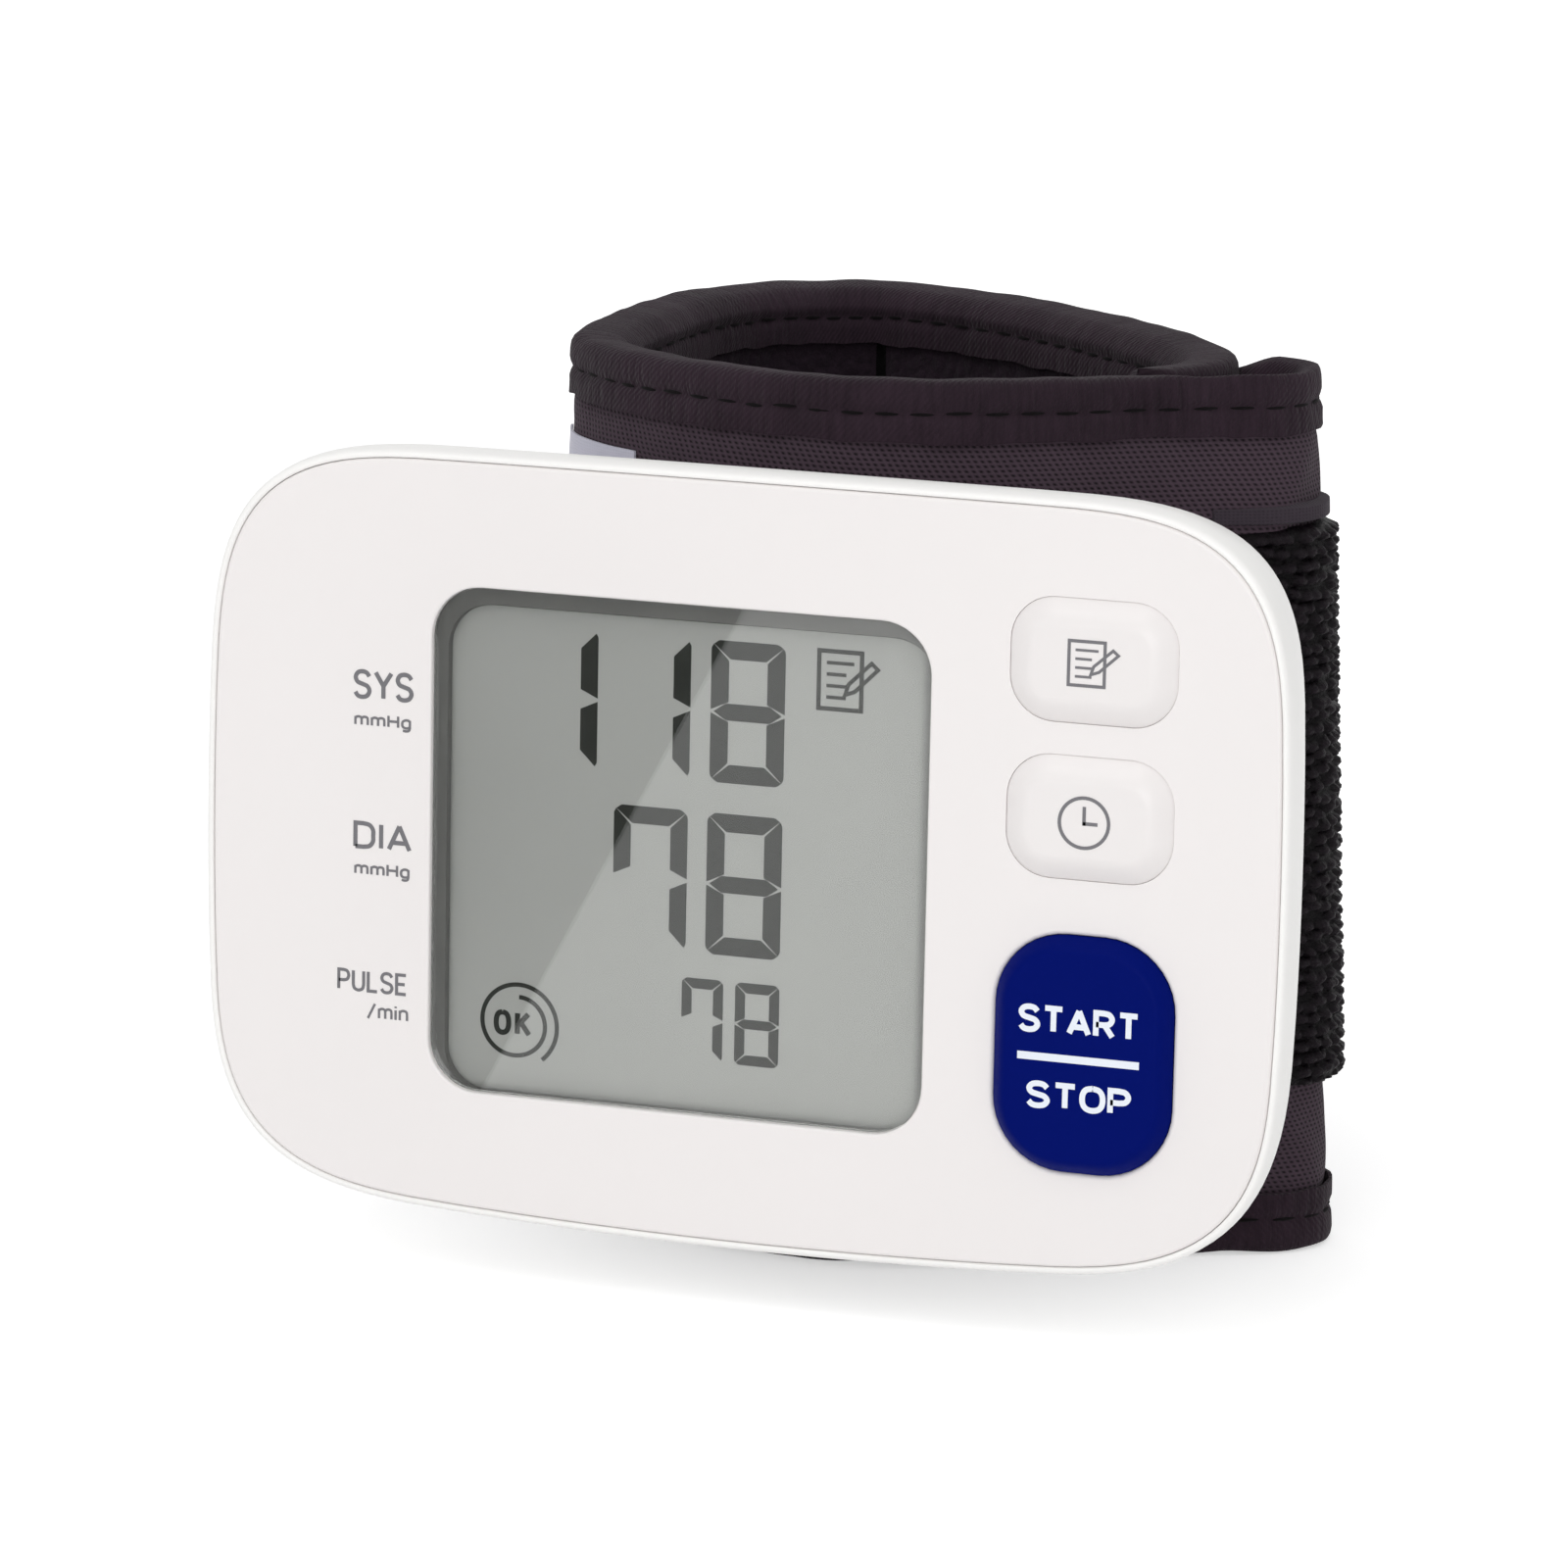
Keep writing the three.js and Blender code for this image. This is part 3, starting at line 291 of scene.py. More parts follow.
def curve_through(points, per_span):
    """A smooth curve through plan points, its turns eased by the distance between them."""
    pts = [np.array(p, float) for p in points]
    pts = [2 * pts[0] - pts[1]] + pts + [2 * pts[-1] - pts[-2]]
    out = []
    for i in range(1, len(pts) - 2):
        p0, p1, p2, p3 = span = pts[i - 1:i + 3]
        d0, d1, d2 = (max(np.linalg.norm(b - a) ** 0.5, 1e-4) for a, b in zip(span, span[1:]))
        t1 = ((p1 - p0) / d0 - (p2 - p0) / (d0 + d1) + (p2 - p1) / d1) * d1
        t2 = ((p2 - p1) / d1 - (p3 - p1) / (d1 + d2) + (p3 - p2) / d2) * d1
        square, cube = 3 * (p2 - p1) - 2 * t1 - t2, 2 * (p1 - p2) + t1 + t2
        for k in range(per_span + (i == len(pts) - 3)):
            t = k / per_span
            out.append(p1 + t1 * t + square * t ** 2 + cube * t ** 3)
    return out


# Shape of the case, in millimetres: a wide rounded outline with bowed sides
SEAM_HALF_WIDTH, SEAM_HALF_HEIGHT = 44.6, 30.8
CORNER_X, CORNER_Z, CORNER_POWER = 20.9, 19.9, 3.5
SIDE_BOW, TOP_BOW, BOTTOM_BOW = 1.15, 0.13, 1.98
CASE_DEPTH, CASE_WALL, BACK_TAPER, RIM = 16.6, 1.5, 9.0, 0.9
INNER_DEPTH = CASE_DEPTH - CASE_WALL
SHELL_SHARES = [
    (0.03, 0.01), (0.13, 0), (0.3, 0.04), (0.5, 0.12), (0.68, 0.21), (0.82, 0.33),
    (0.92, 0.5), (0.98, 0.72), (1, 1),
]
SHELL_RIM = [(0.34, 0.15), (0.14, 0.18), (0.03, 0.26), (0, 0.38), (0.05, 0.53), (0.2, 0.7)]
SHELL_MOUTH = [(-3, 0.15), (1.7, 0.15), (1.71, -0.7)]
WINDOW = {"x": -4.95, "z": 0.0, "width": 41.9, "height": 41.6, "corner": 4.2}
SMALL_KEY = {"x": 29.25, "width": 13.6, "height": 9.9, "corner": 3.6}
KEYS = {
    "memory": {**SMALL_KEY, "z": 18.9},
    "clock": {**SMALL_KEY, "z": 6.4},
    "start": {"x": 29.25, "z": -12.65, "width": 14.6, "height": 19.2, "corner": 5.8},
}
PANE_FRONT = 0.4
CELL_X, CELL_Y, CELL_RADIUS, CELL_LENGTH = (-32.85, -22.05), 9.55, 5.25, 43.3
BAY_X, BAY_HALF, BAY_WALL = -16.5, 24.2, 1.2
DOOR_HALF, DOOR_FRONT, DOOR_GAP = 23.9, 8.964, 0.3
POST_RADIUS, POST_HEAD, POST_BORE = 2.8, 2.3, 1.5
POSTS = [(x, z) for x in (-12.8, 19.0) for z in (24.1, -24.1)]


def case_outline(y, grow):
    """The case's outline at a depth behind the face, grown outwards."""
    half_x, half_z = SEAM_HALF_WIDTH + grow, SEAM_HALF_HEIGHT + grow
    reach_x, reach_z = CORNER_X + grow, CORNER_Z + grow
    quarter = [(half_x, (half_z - reach_z) * i / 6) for i in range(6)]
    for i in range(25):
        turn = math.pi / 2 * i / 24
        quarter.append((
            half_x - reach_x + reach_x * max(math.cos(turn), 0) ** (2 / CORNER_POWER),
            half_z - reach_z + reach_z * math.sin(turn) ** (2 / CORNER_POWER),
        ))
    quarter += [((half_x - reach_x) * (1 - i / 12), half_z) for i in range(1, 13)]
    upper = quarter + [(-x, z) for x, z in reversed(quarter[:-1])]
    ring = []
    for x, z in upper + [(x, -z) for x, z in reversed(upper[1:-1])]:
        bow = TOP_BOW if z > 0 else BOTTOM_BOW
        narrow = 1 - SIDE_BOW / SEAM_HALF_WIDTH * (z / SEAM_HALF_HEIGHT) ** 2
        low = 1 - bow / SEAM_HALF_HEIGHT * (x / SEAM_HALF_WIDTH) ** 2
        ring.append(at(x * narrow, y, z * low))
    return ring


def frame_outline(shape, y, grow=0.0, steps=10):
    """A rounded rectangle in the face's plane, grown outwards."""
    half_x, half_z = shape["width"] / 2 + grow, shape["height"] / 2 + grow
    radius = max(shape["corner"] + grow, shape["corner"] * 0.2)
    ring = []
    for quarter in range(4):
        centre_x = shape["x"] + (1 if quarter in (0, 3) else -1) * (half_x - radius)
        centre_z = shape["z"] + (1 if quarter < 2 else -1) * (half_z - radius)
        for i in range(steps + 1):
            turn = math.pi / 2 * (quarter + i / steps)
            ring.append(at(
                centre_x + radius * math.cos(turn), y, centre_z + radius * math.sin(turn),
            ))
    return ring


def frame_solid(shape, levels):
    """A solid of rounded rectangles, each level a depth and how far it is grown."""
    return lay_grid("frame", [frame_outline(shape, y, grow) for y, grow in levels], True, True)


def case_solid(levels):
    """A solid with the case's outline, each level a depth and how far it is grown."""
    return lay_grid("case", [case_outline(y, grow) for y, grow in levels], True, True)


def room_levels(shares, gap):
    """Depths and growths of the room inside the case, at a distance from its outer form."""
    return [(a * INNER_DEPTH, RIM - t * BACK_TAPER - gap) for a, t in shares]


def shell_wall():
    """The wall of the case behind the face: its outer form with the room inside taken out."""
    outside = [(a * CASE_DEPTH, RIM - t * BACK_TAPER) for a, t in SHELL_SHARES]
    inside = room_levels(SHELL_SHARES[1:], CASE_WALL)
    return carve(
        case_solid(SHELL_RIM + curve_through(outside, 3)),
        case_solid(SHELL_MOUTH + curve_through(inside, 2)),
    )


# Shape of the cuff: one band wound round the wrist, its tail folded back outside
BAND_SHARES = [
    (0.896, -0.416), (0.979, -0.267), (1.0, -0.089), (0.918, 0.125), (0.682, 0.402),
    (0.268, 0.747), (-0.125, 0.95), (-0.411, 1.0), (-0.696, 0.879), (-0.904, 0.63),
    (-0.989, 0.31), (-1.0, -0.011), (-0.996, -0.278), (-0.939, -0.527), (-0.732, -0.747),
    (-0.446, -0.904), (-0.161, -0.986), (0.125, -1.0), (0.375, -0.929), (0.625, -0.779),
    (0.839, -0.619), (1.045, -0.484), (1.204, -0.381), (1.275, -0.25), (1.246, -0.082),
    (1.146, 0.0), (1.018, 0.021),
]
RING_X, RING_Y = 0.5, 9.0538
RING_HALF_WIDTH, RING_HALF_DEPTH = 28.0, 28.1
CUFF_HEIGHT, CUFF_FLARE, CUFF_SPREAD = 74.1, 0.04, 2.3
BAND_DEPTH, TAIL_DEPTH = 5.6, 2.3
BAND_PATH = np.array(curve_through(
    [(a * RING_HALF_WIDTH, b * RING_HALF_DEPTH) for a, b in BAND_SHARES], 60,
))
BAND_STEPS = np.linalg.norm(np.diff(BAND_PATH, axis=0), axis=1)
BAND_ALONG = np.concatenate([[0], np.cumsum(BAND_STEPS)])
BAND_RUN = np.gradient(BAND_PATH, BAND_ALONG, axis=0)
BAND_LENGTH = float(BAND_ALONG[-1])
BACK_HINGE, TAIL_HINGE = BAND_LENGTH * 0.53325, BAND_LENGTH * 0.85602
BAND_START, BAND_END = -1.5, BAND_LENGTH + 1.2
SEAM_AT, SEAM_GAP = BACK_HINGE + 4.0, 0.1
PAD_FROM = TAIL_HINGE + (BAND_LENGTH - TAIL_HINGE) * 0.17
PAD_FOOT, PAD_TOP = 14.25, 61.25
LOOP_WIDE, LOOP_HIGH = 1.25, 1.15
LINING_SEAM = 62.6
COVER_NODES = {
    "back": ["cuff_cover_back"], "front": ["cuff_cover_front", "cuff_cover_tail"],
}


def ease(value, low, high):
    """0 below low, 1 above high, and a smooth step between."""
    t = min(max((value - low) / (high - low), 0.0), 1.0)
    return t * t * (3 - 2 * t)


def band_point(along, inward, z):
    """A place on the cuff: distance along its plan, depth inwards and height, in millimetres."""
    beyond = min(max(along, 0), BAND_LENGTH)
    x, y = (np.interp(beyond, BAND_ALONG, BAND_PATH[:, i]) for i in (0, 1))
    run_x, run_y = (np.interp(beyond, BAND_ALONG, BAND_RUN[:, i]) for i in (0, 1))
    size = math.hypot(run_x, run_y)
    run_x, run_y = run_x / size, run_y / size
    z = CUFF_HEIGHT / 2 + (z - CUFF_HEIGHT / 2) * (0.96 + 0.04 * ease(BAND_END - along, -1.0, 4.0))
    drop = (CUFF_HEIGHT - z) / CUFF_HEIGHT
    flare = 1 + CUFF_FLARE * drop
    to_right = max(0.0, x / RING_HALF_WIDTH)
    spread_x = x * flare if x < 0 else x + CUFF_SPREAD * drop * to_right ** 2
    return Vector((
        (RING_X + spread_x - run_y * inward + run_x * (along - beyond)) * MM,
        (RING_Y + y * flare + run_x * inward + run_y * (along - beyond)) * MM,
        z * MM,
    ))


def band_depth(along):
    return BAND_DEPTH + (TAIL_DEPTH - BAND_DEPTH) * ease(along, TAIL_HINGE - 0.2, TAIL_HINGE + 6)


def end_round(along):
    """1 along the band, falling to 0 in a half round at its two ends."""
    near = min(along - BAND_START, BAND_END - along)
    return math.sqrt(1 - (1 - min(max(near / 1.6, 0), 1)) ** 2)


def wave(along, size, seed, height=0.0):
    """An uneven wave along the band, about one high, with its bumps a given size apart."""
    return noise.noise((along / size, seed * 7.31, height / size))


def stations(start, end, pitch):
    count = max(2, round((end - start) / pitch))
    return [start + (end - start) * i / count for i in range(count + 1)]


# Materials

RGBA = {"out": 2, "data_type": "RGBA"}
SPREAD = {"From Min": 0.3, "From Max": 0.7}
POLYESTER = {"IOR": 1.45, "Specular IOR Level": 0.08, "Sheen Roughness": 0.5}
DISPLAY = {"IOR": 1.5, "Specular IOR Level": 0.0, "Roughness": 0.6}
MATT = {"Roughness": 0.9, "Specular IOR Level": 0.0}


def add_node(tree, kind, inputs=None, out=0, **settings):
    """Adds one node and gives one of its outputs: settings are its own choices, and inputs are
    values, or outputs of other nodes to link."""
    node = tree.nodes.new("ShaderNode" + kind)
    for key, value in settings.items():
        setattr(node, key, value)
    for key, value in (inputs or {}).items():
        if isinstance(value, bpy.types.NodeSocket):
            tree.links.new(value, node.inputs[key])
        else:
            node.inputs[key].default_value = value
    return node.outputs[out] if len(node.outputs) else None


def rgba(colour, strength=1.0):
    return (*[c * strength for c in colour[:3]], 1.0)


def blank_material(name):
    material = bpy.data.materials.new(name)
    material.use_nodes = True
    material.node_tree.nodes.clear()
    return material, material.node_tree


def end_material(tree, sockets, height=None, depth_mm=0.0, cover=None):
    """Ends a material with its main shader. A height pattern gives relief of a depth."""
    if height:
        sockets = {**sockets, "Normal": add_node(tree, "Bump", {
            "Height": height, "Distance": depth_mm * MM, "Strength": 1.0,
        })}
    shader = add_node(tree, "BsdfPrincipled", sockets)
    add_node(tree, "OutputMaterial", {"Surface": cover(tree, shader) if cover else shader})


def even_finish(name, colour, tones, sockets, fine=None, depth_mm=0.0, stretch=None, shade=None,
                cover=None):
    """A nearly even finish. Tones are the size in millimetres, the detail and the low and high
    factor of a drift of tone. Fine is the same for the roughness, and gives the relief."""
    material, tree = blank_material(name)
    place = add_node(tree, "TexCoord", out="Object")
    size, detail, low, high = tones
    drift = add_node(tree, "TexNoise", {
        "Vector": place, "Scale": 1 / (size * MM), "Detail": detail, "Roughness": 0.6,
    })
    tone = add_node(tree, "Mix", {0: drift, 6: rgba(colour, low), 7: rgba(colour, high)}, **RGBA)
    sockets = {**sockets, "Base Color": shade(tree, place, tone) if shade else tone}
    grains = None
    if fine:
        size, detail, smooth, dull = fine
        if stretch:
            place = add_node(tree, "Mapping", {"Vector": place, "Scale": stretch})
        grains = add_node(tree, "TexNoise", {
            "Vector": place, "Scale": 1 / (size * MM), "Detail": detail, "Roughness": 0.6,
        })
        sockets["Roughness"] = add_node(tree, "MapRange", {
            **SPREAD, "Value": grains, "To Min": smooth, "To Max": dull,
        })
    end_material(tree, sockets, grains if depth_mm else None, depth_mm, cover)
    return material


def moulded_plastic(name, colour, rough=0.42, tint=0.985, gloss=0.5):
    """ABS moulded in a finely spark-eroded tool: an even satin with a faint grain in its shine,
    and a slow, hardly seen drift of tone from the flow of the melt."""
    return even_finish(
        name, colour, (14.0, 2.0, tint, 1.0), {"IOR": 1.53, "Specular IOR Level": gloss},
        (0.25, 3.0, rough - 0.04, rough + 0.05), 0.004,
    )


def printed_ink(name, colour):
    """Pad-printed ink: matt, with a slightly uneven film."""
    return even_finish(
        name, colour, (0.12, 3.0, 0.93, 1.0), {"IOR": 1.5, "Specular IOR Level": 0.35},
        (0.12, 3.0, 0.5, 0.62),
    )


def soft_rubber(name, colour, rough=0.75):
    """Cured rubber or foam: matt, with fine pores and a trace of dust."""
    return even_finish(
        name, colour, (5.0, 3.0, 0.9, 1.15), {"IOR": 1.52, "Specular IOR Level": 0.3},
        (0.18, 4.0, rough - 0.06, rough + 0.1), 0.01,
    )


def plated_metal(name, colour, rough=0.28):
    """Plated sheet or wire: bright, with fine drawing lines and a few dull spots."""
    return even_finish(
        name, colour, (2.0, 3.0, 0.85, 1.0), {"Metallic": 1.0},
        (0.08, 3.0, rough - 0.08, rough + 0.12), 0.002, (1.0, 1.0, 0.08),
    )


def clear_acrylic(name):
    """Polished cast acrylic: clear, faintly green at its edges, and it lets the lamps through
    to the display behind it."""
    def let_lamps_through(tree, shader):
        open_way = add_node(tree, "BsdfTransparent", {"Color": (0.96, 0.97, 0.96, 1.0)})
        shadow = add_node(tree, "LightPath", out="Is Shadow Ray")
        return add_node(tree, "MixShader", {0: shadow, 1: shader, 2: open_way})

    material, tree = blank_material(name)
    end_material(tree, {
        "Base Color": (0.985, 0.99, 0.985, 1.0), "Roughness": 0.0, "IOR": 1.49,
        "Transmission Weight": 1.0,
    }, cover=let_lamps_through)
    return material


def painted_window_shade(tree, place, tone):
    """Painted shade: the display's colour darkens towards its right and lower side, along the
    window's edge.
    """
    corner = at(15.45, 0, -21.25)
    to_right = add_node(tree, "Math", {
        0: corner.x, 1: add_node(tree, "SeparateXYZ", {0: place}, "X"),
    }, operation="SUBTRACT")
    to_foot = add_node(tree, "Math", {
        0: add_node(tree, "SeparateXYZ", {0: place}, "Z"), 1: corner.z,
    }, operation="SUBTRACT")
    share = add_node(tree, "MapRange", {
        "Value": add_node(tree, "Math", {0: to_right, 1: to_foot}, operation="MINIMUM"),
        "From Min": 0.0, "From Max": 1.1 * MM, "To Min": 0.5, "To Max": 1.0,
    }, interpolation_type="SMOOTHSTEP")
    # Multiplies the display's colour by this share: painted shade near the right and lower edge
    return add_node(tree, "Mix", {0: 1.0, 6: tone, 7: share}, blend_type="MULTIPLY", **RGBA)


def ribs(tree, place, pitch_mm, degrees, distortion=0.6):
    """Parallel ribs with a given pitch, turned by an angle across the cloth."""
    turned = add_node(tree, "Mapping", {
        "Vector": place, "Rotation": (0.0, 0.0, math.radians(degrees)),
    })
    return add_node(tree, "TexWave", {
        "Vector": turned, "Scale": math.pi / 10 / pitch_mm, "Distortion": distortion,
        "Detail": 1.5, "Detail Scale": 1.2,
    }, "Fac")


def woven(name, colour, pitch_mm, degrees, depth_mm=0.1, rough=0.85, sheen=0.06, dark=0.8,
          light=1.06):
    """Polyester cloth. Slanting wales cross level threads; the threads' tops get painted light, and
    where both dip, painted shade makes a small dark hole. Fluff makes the tone uneven."""
    material, tree = blank_material(name)
    flat = add_node(tree, "UVMap", uv_map="cloth")
    wales = ribs(tree, flat, pitch_mm, degrees)
    threads = ribs(tree, flat, pitch_mm * 0.78, 90, 0.3)
    spare = add_node(tree, "Math", {0: 1.0, 1: wales}, operation="SUBTRACT")
    weave = add_node(tree, "Math", {0: spare, 1: threads, 2: wales}, operation="MULTIPLY_ADD")
    fluff = add_node(tree, "TexNoise", {"Vector": flat, "Scale": 1.1, "Detail": 4.0})
    patches = add_node(tree, "TexNoise", {"Vector": flat, "Scale": 0.12, "Detail": 2.0})
    # Painted light on the threads' tops and painted shade where the wales and threads dip
    painted_weave_shade = add_node(tree, "Mix", {0: weave, 6: rgba(colour, dark), 7: rgba(colour, light)}, **RGBA)
    worn = add_node(tree, "Mix", {0: patches, 6: (*[0.88] * 3, 1), 7: (*[1.12] * 3, 1)}, **RGBA)
    height = add_node(tree, "Math", {0: fluff, 1: 0.35, 2: weave}, operation="MULTIPLY_ADD")
    tone = add_node(tree, "Mix", {0: 1.0, 6: painted_weave_shade, 7: worn}, blend_type="MULTIPLY", **RGBA)
    dull = add_node(tree, "MapRange", {
        **SPREAD, "Value": fluff, "To Min": rough - 0.06, "To Max": rough + 0.08,
    })
    end_material(tree, {
        **POLYESTER, "Sheen Weight": sheen, "Base Color": tone, "Roughness": dull,
    }, height, depth_mm)
    return material


def bias_tape(name, colour):
    """Tape cut on the slant and folded over an edge: a fine slanting rib, drawn up by the seam
    into narrow upright puckers, with painted shade in their hollows and painted light on their
    crests, mixed with a slow drift of tone."""
    material, tree = blank_material(name)
    flat = add_node(tree, "UVMap", uv_map="cloth")
    puckers = add_node(tree, "TexNoise", {
        "Vector": add_node(tree, "Mapping", {"Vector": flat, "Scale": (1.0, 0.16, 1.0)}),
        "Scale": 1.5, "Detail": 4.0, "Roughness": 0.62,
    })
    patches = add_node(tree, "TexNoise", {"Vector": flat, "Scale": 0.09, "Detail": 3.0})
    both = add_node(tree, "Math", {0: puckers, 1: patches}, operation="ADD")
    half = add_node(tree, "Math", {0: both, 1: 0.5}, operation="MULTIPLY")
    share = add_node(tree, "MapRange", {**SPREAD, "Value": half, "To Min": 0.0, "To Max": 1.0})
    height = add_node(tree, "Math", {
        0: ribs(tree, flat, 0.42, 40), 1: 0.12, 2: puckers,
    }, operation="MULTIPLY_ADD")
    # Painted shade in the pucker hollows and painted light on their crests, mixed with random
    # patches of tone
    tone = add_node(tree, "Mix", {0: share, 6: rgba(colour, 0.55), 7: rgba(colour, 1.5)}, **RGBA)
    dull = add_node(tree, "MapRange", {**SPREAD, "Value": puckers, "To Min": 0.8, "To Max": 0.92})
    end_material(tree, {
        **POLYESTER, "Sheen Weight": 0.08, "Base Color": tone, "Roughness": dull,
    }, height, 0.35)
    return material


def loop_pile(name, colour):
    """Nylon loops: a painted highlight on the crowns, and painted shade that makes the gaps between
    them black.
    """
    material, tree = blank_material(name)
    crown = add_node(tree, "Attribute", out="Fac", attribute_name="crown")
    fibres = add_node(tree, "TexNoise", {
        "Vector": add_node(tree, "UVMap", uv_map="cloth"), "Scale": 4.5, "Detail": 3.0,
    })
    painted_crown_light = add_node(tree, "Math", {0: crown, 1: fibres}, operation="MULTIPLY")
    # Painted highlight on the loops' crowns and painted shade between them
    tone = add_node(tree, "Mix", {0: painted_crown_light, 6: rgba(colour, 0.2), 7: rgba(colour, 1.9)}, **RGBA)
    end_material(tree, {
        "IOR": 1.5, "Specular IOR Level": 0.1, "Roughness": 0.5, "Base Color": tone,
    }, fibres, 0.18)
    return material


def brushed_pile(name, colour, fibre_mm, depth_mm, light=1.8, seam=None):
    """Raised fibres: soft clumps with dark gaps between them, and a dull sheen. A seam is a
    sunken line across the cloth, darkened with painted shade."""
    material, tree = blank_material(name)
    place = add_node(tree, "TexCoord", out="Object")
    fibres = add_node(tree, "TexNoise", {
        "Vector": place, "Scale": 1 / (fibre_mm * MM), "Detail": 5.0, "Roughness": 0.7,
    })
    clumps = add_node(tree, "TexVoronoi", {
        "Vector": place, "Scale": 1 / (fibre_mm * 1.6 * MM), "Randomness": 1.0,
    })
    tone = add_node(tree, "Mix", {0: fibres, 6: rgba(colour, 0.5), 7: rgba(colour, light)}, **RGBA)
    if seam:
        # Painted shade along the sunken seam: the colour drops nearly to black within it
        flat = add_node(tree, "UVMap", uv_map="cloth")
        away = add_node(tree, "Math", {
            0: add_node(tree, "SeparateXYZ", {0: flat}, "X"), 1: seam, 2: 0.75,
        }, operation="COMPARE")
        tone = add_node(tree, "Mix", {0: away, 6: tone, 7: rgba(colour, 0.08)}, **RGBA)
    dull = add_node(tree, "MapRange", {**SPREAD, "Value": fibres, "To Min": 0.85, "To Max": 1.0})
    height = add_node(tree, "Math", {0: fibres, 1: clumps}, operation="SUBTRACT")
    end_material(tree, {
        "IOR": 1.45, "Specular IOR Level": 0.05, "Sheen Weight": 0.05, "Sheen Roughness": 0.6,
        "Base Color": tone, "Roughness": dull,
    }, height, depth_mm)
    return material


def board_laminate(name):
    """Glass-fibre laminate under green lacquer: a glossy green with the weave of the glass and
    paler copper tracks below it."""
    material, tree = blank_material(name)
    place = add_node(tree, "TexCoord", out="Object")
    tracks = add_node(tree, "TexBrick", {
        "Vector": add_node(tree, "Mapping", {"Vector": place, "Rotation": (math.pi / 2, 0.0, 0.0)}),
        "Color1": rgba(linear("#1f6a3c")), "Color2": rgba(linear("#1a5a33")),
        "Mortar": rgba(linear("#2f8a55")), "Scale": 1 / (8 * MM), "Mortar Size": 0.03,
    })
    weave = add_node(tree, "TexNoise", {
        "Vector": place, "Scale": 1 / (0.3 * MM), "Detail": 3.0, "Roughness": 0.6,
    })
    end_material(tree, {"IOR": 1.55, "Roughness": 0.25, "Base Color": tracks}, weave, 0.01)
    return material


def cell_sleeve(name):
    """Shrunk plastic sleeve: glossy green body with a black band towards the flat end."""
    material, tree = blank_material(name)
    place = add_node(tree, "TexCoord", out="Object")
    high = add_node(tree, "SeparateXYZ", {0: place}, "Z")
    band = add_node(tree, "Math", {0: high, 1: MID_Z}, operation="GREATER_THAN")
    tone = add_node(tree, "Mix", {
        0: band, 6: rgba(linear("#5d7d2c")), 7: rgba(linear("#22251f")),
    }, **RGBA)
    dents = add_node(tree, "TexNoise", {
        "Vector": place, "Scale": 1 / (1.2 * MM), "Detail": 3.0, "Roughness": 0.6,
    })
    end_material(tree, {"IOR": 1.5, "Roughness": 0.22, "Base Color": tone}, dents, 0.01)
    return material


MATERIALS = {}


def make_materials():
    """All finishes, from the colours in the settings."""
    scene = bpy.context.scene
    case, window, cuff = scene.monitor_case, scene.monitor_window, scene.monitor_cuff
    MATERIALS.update(
        case=moulded_plastic("ABS moulded off-white", case.case_colour),
        shell=moulded_plastic("ABS moulded white", case.shell_colour),
        small_key=moulded_plastic("ABS moulded key white", case.key_colour, 0.38),
        start_key=moulded_plastic("ABS moulded deep blue", case.start_colour, 0.5, 0.95, 0.03),
        ink=printed_ink("Pad-printed grey ink", case.ink_colour),
        key_ink=printed_ink("Pad-printed pale ink", case.key_ink_colour),
        lens=clear_acrylic("Acrylic polished clear"),
        # Glass on a brushed metal reflector: an even grey, with painted shade along two sides at
        # the window's edge
        display=even_finish(
            "Liquid crystal glass grey", window.panel_colour, (18.0, 1.0, 0.97, 1.03), DISPLAY,
            shade=painted_window_shade,
        ),
        # A darkened part of the liquid crystal: flat, with a slow drift of tone
        segment=even_finish(
            "Liquid crystal segment dark", window.segment_colour, (6.0, 1.0, 0.92, 1.08), DISPLAY,
        ),
        gasket=soft_rubber("Foam die-cut dark grey", linear("#636361"), 0.85),
        twill=woven("Polyester twill black", cuff.twill_colour, 0.52, -30, dark=0.22, light=1.32),
        tape=bias_tape("Polyester tape black", cuff.tape_colour),
        selvedge=woven("Polyester selvedge grey", linear("#3a333a"), 0.35, 0, 0.03),
        label=woven("Polyester satin label", cuff.label_colour, 0.3, 0, 0.02, 0.5, 0.1, 0.94, 1.02),
        fleece=brushed_pile(
            "Polyester brushed lining", cuff.fleece_colour, 0.7, 0.35, light=2.6, seam=LINING_SEAM,
        ),
        loops=loop_pile("Nylon loop pile", cuff.pile_colour),
        thread=brushed_pile("Polyester sewing thread", linear("#0d0a0c"), 0.2, 0.02),
        inner_plastic=moulded_plastic("Polystyrene moulded grey-white", linear("#dad8d2"), 0.5),
        black_plastic=moulded_plastic("Nylon moulded black", linear("#222326"), 0.5),
        steel=plated_metal("Steel nickel-plated", linear("#c9ccd0")),
        brass=plated_metal("Brass turned", linear("#c8a860"), 0.3),
        keypad=soft_rubber("Silicone moulded pale grey", linear("#cfcfca")),
        contact=soft_rubber("Silicone conductive dark pink", linear("#6a3a5a")),
        tube=soft_rubber("Silicone tube grey", linear("#55565a"), 0.6),
        bladder=soft_rubber("Polyurethane film grey", linear("#55565a"), 0.55),
        curler=moulded_plastic("Polyester sheet formed", linear("#d2d6d8"), 0.3),
        board=board_laminate("Glass-fibre laminate lacquered"),
        sleeve=cell_sleeve("PVC shrunk sleeve green"),
    )


# The camera of the photograph, in metres: its place, its right, up and back, and its lens
CAMERA_PLACE = Vector((0.181628, -0.577724, 0.165473))
CAMERA_AXES = (
    (0.9485054, 0.316126, 0.02004654), (-0.08456168, 0.19171369, 0.9778012),
    (0.30526518, -0.92914488, 0.20857362),
)
CAMERA_LENS = 168.75


# Operators, one for each piece or group of like pieces

